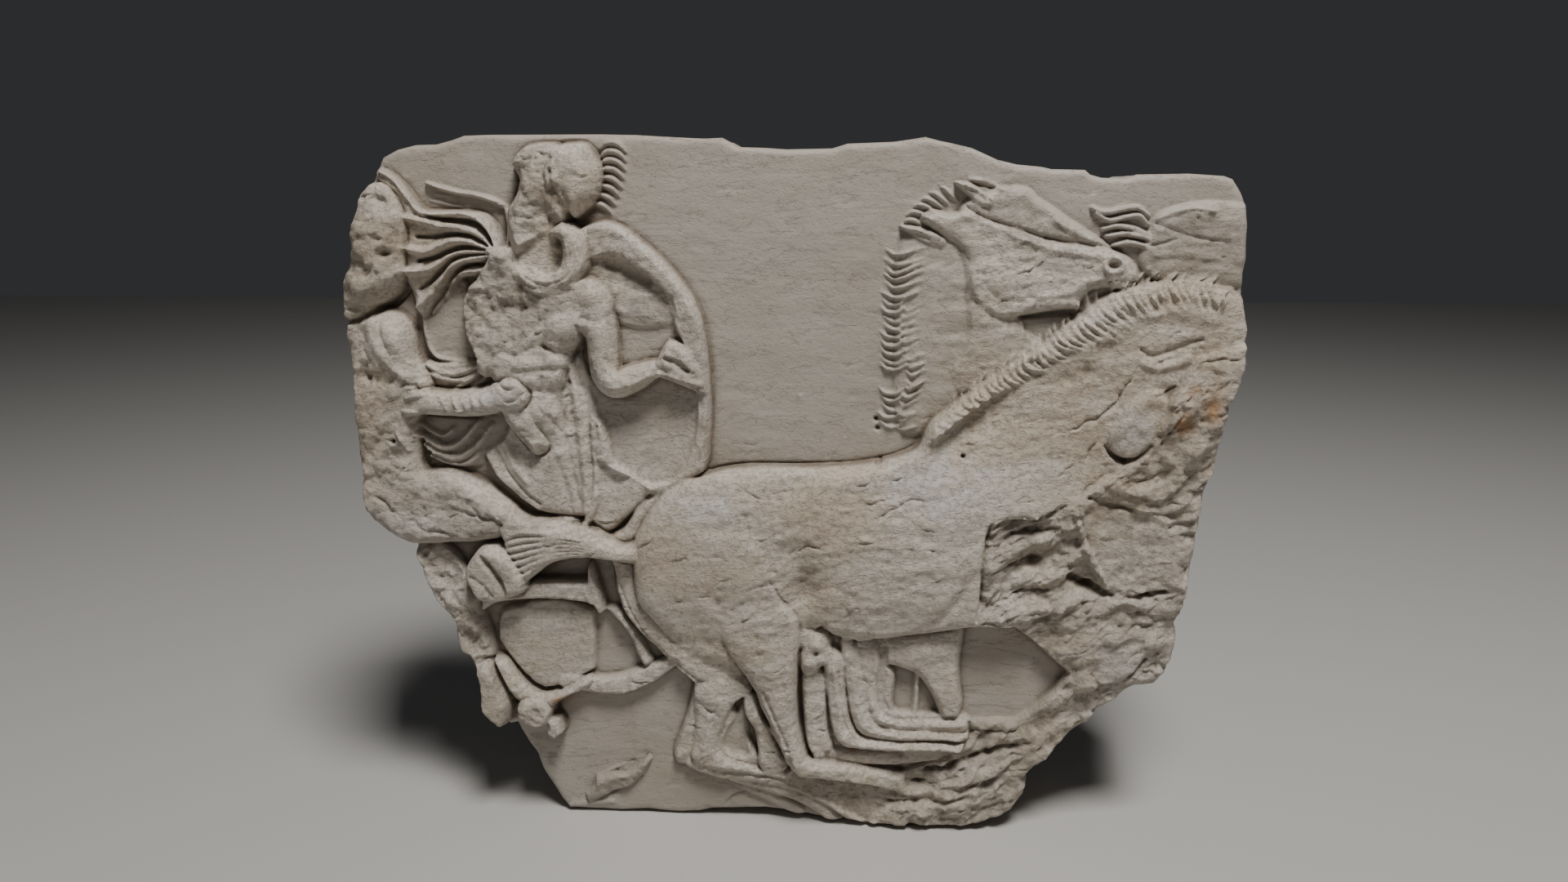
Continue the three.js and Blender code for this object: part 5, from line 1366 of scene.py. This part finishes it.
def chain_border(quads):
    """The border of the kept grid cells as one closed list of corners."""
    starts = np.concatenate([quads[:, n] for n in range(4)])
    ends = np.concatenate([quads[:, (n + 1) % 4] for n in range(4)])
    count = int(quads.max()) + 1
    forward = starts.astype(np.int64) * count + ends
    lonely = ~np.isin(forward, ends.astype(np.int64) * count + starts)
    following = dict(zip(starts[lonely].tolist(), ends[lonely].tolist()))
    first = next(iter(following))
    border = [first]
    while following[border[-1]] != first:
        border.append(following[border[-1]])
    return np.array(border)


def slab_geometry(face, inside, size):
    """Points and faces of the closed slab: carved front, broken sides and flat back."""
    rows, columns = face.X.shape
    middle = 0.25 * (inside[:-1, :-1] + inside[1:, :-1] + inside[:-1, 1:] + inside[1:, 1:])
    row, column = np.nonzero(middle > 0)
    corner = row * columns + column
    quads = np.stack([corner, corner + 1, corner + columns + 1, corner + columns], 1)
    used, quads = np.unique(quads, return_inverse=True)
    quads = quads.reshape(-1, 4)
    x = face.X.ravel()[used]
    z = face.Z.ravel()[used]
    height = face.H.ravel()[used]
    border = chain_border(quads)
    # The ragged border of the grid moves out to the outline
    slope_z, slope_x = np.gradient(inside, face.step)
    depth = inside.ravel()[used][border]
    way_x = slope_x.ravel()[used][border]
    way_z = slope_z.ravel()[used][border]
    length = np.maximum(np.hypot(way_x, way_z), 0.3)
    x[border] -= depth * way_x / length
    z[border] -= depth * way_z / length
    height[border] = -size.edge_wear
    bx, bz = x[border], z[border]
    out_x, out_z = -way_x / length, -way_z / length
    for _ in range(6):
        out_x = (np.roll(out_x, 1) + out_x + np.roll(out_x, -1)) / 3
        out_z = (np.roll(out_z, 1) + out_z + np.roll(out_z, -1)) / 3
    flare = outline_flare(bx, bz, size)
    front = -size.thickness + SHEET_UNIT * size.edge_wear
    points = [np.stack([SHEET_UNIT * x, -size.thickness - SHEET_UNIT * height, SHEET_UNIT * z], 1)]
    rings = 36
    count = len(border)
    faces = [quads]
    before = border
    for ring in range(1, rings + 1):
        share = ring / rings
        y = front * (1 - share)
        reach = flare * (1 - y / -size.thickness)
        away = bx + bz
        level = UNITS_IN_METRE * y
        rough = 0.5 + 0.5 * roughness(bx + 0.4 * bz, level + 0.6 * away, 34, 181)
        chip = 0.5 + 0.5 * roughness(bx - bz, level, 11, 183, 3)
        sunk = (1 - (1 - min(1.0, 4 * share)) ** 2) * (0.6 if ring < rings else 0.3)
        reach = reach - sunk * ((2.2 + 0.14 * flare) * rough + 1.6 * chip)
        points.append(np.stack([SHEET_UNIT * (bx + reach * out_x), np.full(count, y),
                                SHEET_UNIT * (bz + reach * out_z)], 1))
        here = len(x) + (ring - 1) * count + np.arange(count)
        faces.append(np.stack([np.roll(before, -1), before, here, np.roll(here, -1)], 1))
        before = here
    # All points stay a little inside the box of the solid
    clear, clear_back = 0.0002, 0.00001
    low, high = np.array(cad_box[0]) + clear, np.array(cad_box[1]) - (clear, clear_back, clear)
    return np.clip(np.concatenate(points), low, high), np.concatenate(faces), before[::-1]


def mesh_of(name, points, quads, back):
    """A mesh from arrays of points and four-sided faces, closed by one face at the back."""
    mesh = bpy.data.meshes.new(name)
    corners = np.concatenate([quads.ravel(), back]).astype(np.int32)
    mesh.vertices.add(len(points))
    mesh.vertices.foreach_set("co", points.astype(np.float32).ravel())
    mesh.loops.add(len(corners))
    mesh.loops.foreach_set("vertex_index", corners)
    mesh.polygons.add(len(quads) + 1)
    mesh.polygons.foreach_set("loop_start", np.arange(0, 4 * len(quads) + 1, 4, dtype=np.int32))
    mesh.update(calc_edges=True)
    mesh.validate()
    return mesh


def sample(face, values, x, z):
    """Values of a grid at points between its corners."""
    u = np.clip((x - face.xs[0]) / face.step, 0, len(face.xs) - 1.001)
    v = np.clip((z - face.zs[0]) / face.step, 0, len(face.zs) - 1.001)
    i, k = u.astype(int), v.astype(int)
    s, t = u - i, v - k
    low = values[k, i] * (1 - s) + values[k, i + 1] * s
    high = values[k + 1, i] * (1 - s) + values[k + 1, i + 1] * s
    return low * (1 - t) + high * t


def thin_out(context, slab, share):
    """Keeps a share of the mesh's triangles, most of them where its form is finest."""
    fewer = slab.modifiers.new("fewer triangles", "DECIMATE")
    fewer.use_collapse_triangulate = True
    fewer.ratio = share
    context.view_layer.update()
    made = bpy.data.meshes.new_from_object(slab.evaluated_get(context.evaluated_depsgraph_get()))
    slab.modifiers.clear()
    whole = slab.data
    slab.data = made
    bpy.data.meshes.remove(whole)
    made.name = slab.name
    if not LEAST_TRIANGLES < len(made.polygons) < MOST_TRIANGLES:
        raise RuntimeError("the slab has %d triangles" % len(made.polygons))


def store_masks(mesh, face, size):
    """Puts the masks of the face on the mesh's points. Its sides and back are broken stone."""
    where = np.empty(3 * len(mesh.vertices), np.float32)
    mesh.vertices.foreach_get("co", where)
    where = where.reshape(-1, 3)
    x, z = UNITS_IN_METRE * where[:, 0], UNITS_IN_METRE * where[:, 2]
    worn_edge, blend, broken_side = 0.006, 0.004, 0.8
    side = np.clip((where[:, 1] + size.thickness - worn_edge) / blend, 0.0, 1.0)
    for name, values in surface_masks(face).items():
        mask = sample(face, values, x, z)
        mask = mask * (1 - side) + (broken_side * side if name == "broken" else 0.0)
        attribute = mesh.attributes.new(name, "FLOAT", "POINT")
        attribute.data.foreach_set("value", mask.astype(np.float32))


def shade(mesh):
    """Smooth shading between sharp edges, and flat shading on the sawn back."""
    sharp, flat = math.radians(62), 0.999
    mesh.shade_smooth()
    mesh.set_sharp_from_angle(angle=sharp)
    normals = np.empty(3 * len(mesh.polygons), np.float32)
    mesh.polygons.foreach_get("normal", normals)
    mesh.polygons.foreach_set("use_smooth", normals[1::3] < flat)


def add_node(tree, kind, values=None, **settings):
    """A node with its settings, its values and what is plugged into it."""
    made = tree.nodes.new(kind)
    for name, value in settings.items():
        setattr(made, name, value)
    for name, value in (values or {}).items():
        if isinstance(value, bpy.types.NodeSocket):
            tree.links.new(value, made.inputs[name])
        else:
            made.inputs[name].default_value = value
    return made


def blend_colours(tree, share, first, second):
    """One colour laid over another by a share. The node's colour sockets come late in its lists."""
    factor, under, over, result = 0, 6, 7, 2
    made = tree.nodes.new("ShaderNodeMix")
    made.data_type = "RGBA"
    for index, value in ((factor, share), (under, first), (over, second)):
        if isinstance(value, bpy.types.NodeSocket):
            tree.links.new(value, made.inputs[index])
        elif index == factor:
            made.inputs[index].default_value = value
        else:
            made.inputs[index].default_value = (*value, 1.0)
    return made.outputs[result]


def between(tree, value, low, high, start=0.0, end=1.0):
    """A value spread from one range to another, and held to its ends."""
    made = add_node(tree, "ShaderNodeMapRange", {"Value": value, "From Min": low, "From Max": high,
                                                 "To Min": start, "To Max": end},
                    interpolation_type="SMOOTHSTEP")
    return made.outputs[0]


def maths(tree, first, second, operation="MULTIPLY"):
    """Two values multiplied, or put together by another operation."""
    made = tree.nodes.new("ShaderNodeMath")
    made.operation = operation
    for index, value in enumerate((first, second)):
        if isinstance(value, bpy.types.NodeSocket):
            tree.links.new(value, made.inputs[index])
        else:
            made.inputs[index].default_value = value
    return made.outputs[0]


def stretched(tree, where, scale, turn=(0.0, 0.0, 0.0)):
    """Places turned, and drawn together along each axis by its scale."""
    made = add_node(tree, "ShaderNodeMapping", {"Vector": where, "Scale": scale, "Rotation": turn})
    return made.outputs[0]


def noise(tree, where, scale, detail=4.0, rough=0.55, distortion=0.0):
    """Cloudy values round 0.5, finer with a larger scale."""
    made = add_node(tree, "ShaderNodeTexNoise", {"Vector": where, "Scale": scale, "Detail": detail,
                                                 "Roughness": rough, "Distortion": distortion})
    return made.outputs[0]


def mask_of(tree, name):
    """One of the masks that are stored on the mesh."""
    made = tree.nodes.new("ShaderNodeAttribute")
    made.attribute_type = "GEOMETRY"
    made.attribute_name = name
    return made.outputs["Fac"]


def marble_material(look):
    """Old marble: level veins and bedding, warm patina, grey bloom, dust and painted shade in the
    hollows.
    """
    material = bpy.data.materials.new("old_marble")
    material.use_nodes = True
    tree = material.node_tree
    tree.nodes.clear()
    where = add_node(tree, "ShaderNodeTexCoord").outputs["Object"]
    level = stretched(tree, where, (1.0, 1.0, 2.0), (0.0, 0.12, 0.0))
    names = ("hollow", "ridge", "broken", "rust", "pale", "raised")
    hollow, ridge, broken, rust, pale, raised = (mask_of(tree, name) for name in names)

    cloud = noise(tree, where, 3.4, 5.0, 0.6, 0.4)
    band = noise(tree, level, 7.0, 6.0, 0.62, 0.8)
    mottle = noise(tree, where, 38.0, 6.0, 0.65)
    speck = noise(tree, where, 260.0, 4.0, 0.6)
    colour = blend_colours(tree, between(tree, cloud, 0.40, 0.64), look.pale, look.warm)
    colour = blend_colours(tree, between(tree, band, 0.50, 0.72, 0.0, 0.6), colour, look.cold)
    colour = blend_colours(tree, between(tree, mottle, 0.50, 0.72, 0.0, 0.4), colour, look.warm)
    colour = blend_colours(tree, maths(tree, pale, between(tree, mottle, 0.25, 0.6)), colour, look.cold)
    # Where the relief is low the colour turns darker and greyer
    colour = blend_colours(tree, between(tree, raised, 0.0, 0.8, 0.52, 0.0), colour, look.dull)
    # Thin brown seams along the bedding
    seam = noise(tree, stretched(tree, where, (1.0, 1.0, 4.0), (0.0, 0.12, 0.0)), 6.5, 7.0, 0.6, 0.5)
    vein = maths(tree, maths(tree, seam, 0.5, "SUBTRACT"), 1.0, "ABSOLUTE")
    line = between(tree, vein, 0.0, 0.013, 1.0, 0.0)
    colour = blend_colours(tree, maths(tree, line, 0.22), colour, look.dust_and_shade)
    # Breaks are darker in their dips
    dips = between(tree, noise(tree, where, 60.0, 6.0, 0.7), 0.36, 0.66)
    colour = blend_colours(tree, maths(tree, maths(tree, broken, dips), 0.28), colour, look.dust_and_shade)
    colour = blend_colours(tree, between(tree, speck, 0.62, 0.76, 0.0, 0.35), colour, look.dust_and_shade)
    # Dust and painted shade darken the hollows
    dust_and_shade_share = maths(tree, between(tree, hollow, 0.05, 0.7), between(tree, mottle, 0.2, 0.6, 0.55, 1.0))
    colour = blend_colours(tree, maths(tree, dust_and_shade_share, 0.82), colour, look.dust_and_shade)
    colour = blend_colours(tree, maths(tree, ridge, 0.30), colour, look.cold)
    stained = maths(tree, rust, between(tree, mottle, 0.35, 0.6, 0.2, 0.85))
    colour = blend_colours(tree, stained, colour, look.rust)

    # Breaks are rougher than the worn face
    rough = maths(tree, between(tree, band, 0.3, 0.7, -0.10, 0.10), look.roughness, "ADD")
    rough = maths(tree, rough, maths(tree, broken, 0.16), "ADD")

    grain = noise(tree, where, 620.0, 3.0, 0.6)
    pits = between(tree, noise(tree, where, 150.0, 5.0, 0.65), 0.30, 0.52)
    layers = stretched(tree, where, (1.0, 1.0, 2.6), (0.0, 0.15, 0.0))
    bedding = noise(tree, layers, 56.0, 7.0, 0.66, 0.3)
    crumbs = noise(tree, where, 95.0, 8.0, 0.72)
    cracks = between(tree, vein, 0.0, 0.008)
    # The ground is smoother than the figures
    coarse = between(tree, raised, 0.0, 0.7, 0.30, 1.0)
    bedding = maths(tree, bedding, coarse)
    pits = maths(tree, pits, coarse)
    normal = add_node(tree, "ShaderNodeBump", {"Height": bedding, "Strength": 0.75, "Distance": 0.0034})
    bumps = [(cracks, 0.5, 0.0012), (pits, 0.8, 0.0015), (grain, 0.6, 0.0007)]
    for height, strength, distance in bumps:
        normal = add_node(tree, "ShaderNodeBump", {"Height": height, "Strength": strength,
                                                   "Distance": distance, "Normal": normal.outputs[0]})
    normal = add_node(tree, "ShaderNodeBump", {"Height": maths(tree, crumbs, broken), "Strength": 0.7,
                                               "Distance": 0.0042, "Normal": normal.outputs[0]})
    shader = add_node(tree, "ShaderNodeBsdfPrincipled", {"Base Color": colour, "Roughness": rough,
                                                         "Normal": normal.outputs[0], "IOR": 1.49})
    add_node(tree, "ShaderNodeOutputMaterial", {"Surface": shader.outputs[0]})
    return material


class RELIEF_OT_carve_slab(bpy.types.Operator):
    """Carve the slab with all its figures, and give it its marble"""
    bl_idname = "relief.carve_slab"
    bl_label = "Carve the slab"

    def execute(self, context):
        size = context.scene.slab_sizes
        face = CarvedFace(size.step)
        for carve in CARVING:
            carve(face, size)
        weather(face)
        inside = wear_edges(face, size)
        points, quads, back = slab_geometry(face, inside, size)
        slab = bpy.data.objects.new("carved_slab", mesh_of("carved_slab", points, quads, back))
        context.collection.objects.link(slab)
        thin_out(context, slab, size.triangles / (2 * len(quads) + len(back) - 2))
        store_masks(slab.data, face, size)
        shade(slab.data)
        slab.data.materials.append(marble_material(context.scene.stone_look))
        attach(slab, "root")
        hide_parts(SLAB_NODE)
        return {"FINISHED"}


class RELIEF_OT_set_stage(bpy.types.Operator):
    """Set the floor, the soft lights and the camera"""
    bl_idname = "relief.set_stage"
    bl_label = "Set the stage"

    def execute(self, context):
        look = context.scene.stone_look
        ground = min(cad_box[0][2], cad_box[1][2])
        mesh = bpy.data.meshes.new("floor")
        reach = 9.0
        corners = [(reach * x, reach * y, ground) for x, y in ((-1, -1), (1, -1), (1, 1), (-1, 1))]
        mesh.from_pydata(corners, [], [(0, 1, 2, 3)])
        floor = bpy.data.objects.new("floor", mesh)
        context.collection.objects.link(floor)
        paint = bpy.data.materials.new("pale_floor")
        paint.use_nodes = True
        shader = paint.node_tree.nodes["Principled BSDF"]
        shader.inputs["Base Color"].default_value = (*look.floor, 1.0)
        shader.inputs["Roughness"].default_value = 0.85
        mesh.materials.append(paint)

        middle = Vector((0.0, -0.14, 0.0))
        # Each light's name, place, power, width and tint
        lights = [
            ("key_light", (0.80, -2.10, 4.2), look.key_power, 1.3, (1.0, 0.975, 0.935)),
            ("fill_light", (-1.9, -2.2, 0.9), look.fill_power, 1.6, (0.90, 0.95, 1.0))]
        for name, place, power, width, tint in lights:
            data = bpy.data.lights.new(name, "AREA")
            data.energy = power
            data.size = width
            data.color = tint
            light = bpy.data.objects.new(name, data)
            light.location = place
            light.rotation_euler = (middle - light.location).to_track_quat("-Z", "Y").to_euler()
            context.collection.objects.link(light)

        world = bpy.data.worlds.new("even_light")
        world.use_nodes = True
        background = world.node_tree.nodes["Background"]
        background.inputs["Color"].default_value = (0.93, 0.95, 1.0, 1.0)
        background.inputs["Strength"].default_value = look.sky
        context.scene.world = world

        data = bpy.data.cameras.new("camera")
        data.sensor_width = 36.0
        data.lens = 24.45
        data.clip_start = 0.01
        camera = bpy.data.objects.new("camera", data)
        camera.location = (0.0901, -1.5795, 0.4052)
        seen_middle = Vector((-0.003, -0.140, 0.088))
        camera.rotation_euler = (seen_middle - camera.location).to_track_quat("-Z", "Y").to_euler()
        context.collection.objects.link(camera)
        context.scene.camera = camera
        return {"FINISHED"}


class RELIEF_PT_steps(bpy.types.Panel):
    bl_idname = "RELIEF_PT_steps"
    bl_label = "Marble relief"
    bl_space_type = "VIEW_3D"
    bl_region_type = "UI"
    bl_category = "Relief"

    def draw(self, context):
        layout = self.layout
        for step in (RELIEF_OT_carve_slab, RELIEF_OT_set_stage):
            layout.operator(step.bl_idname)
        for settings in (context.scene.slab_sizes, context.scene.stone_look):
            for name in settings.__annotations__:
                layout.prop(settings, name)


CLASSES = (SlabSettings, StoneSettings, RELIEF_OT_carve_slab, RELIEF_OT_set_stage, RELIEF_PT_steps)


def register():
    for item in CLASSES:
        bpy.utils.register_class(item)
    bpy.types.Scene.slab_sizes = bpy.props.PointerProperty(type=SlabSettings)
    bpy.types.Scene.stone_look = bpy.props.PointerProperty(type=StoneSettings)


def unregister():
    del bpy.types.Scene.stone_look
    del bpy.types.Scene.slab_sizes
    for item in reversed(CLASSES):
        bpy.utils.unregister_class(item)


def main():
    register()
    bpy.ops.relief.carve_slab()
    bpy.ops.relief.set_stage()


if __name__ == "__main__":
    main()
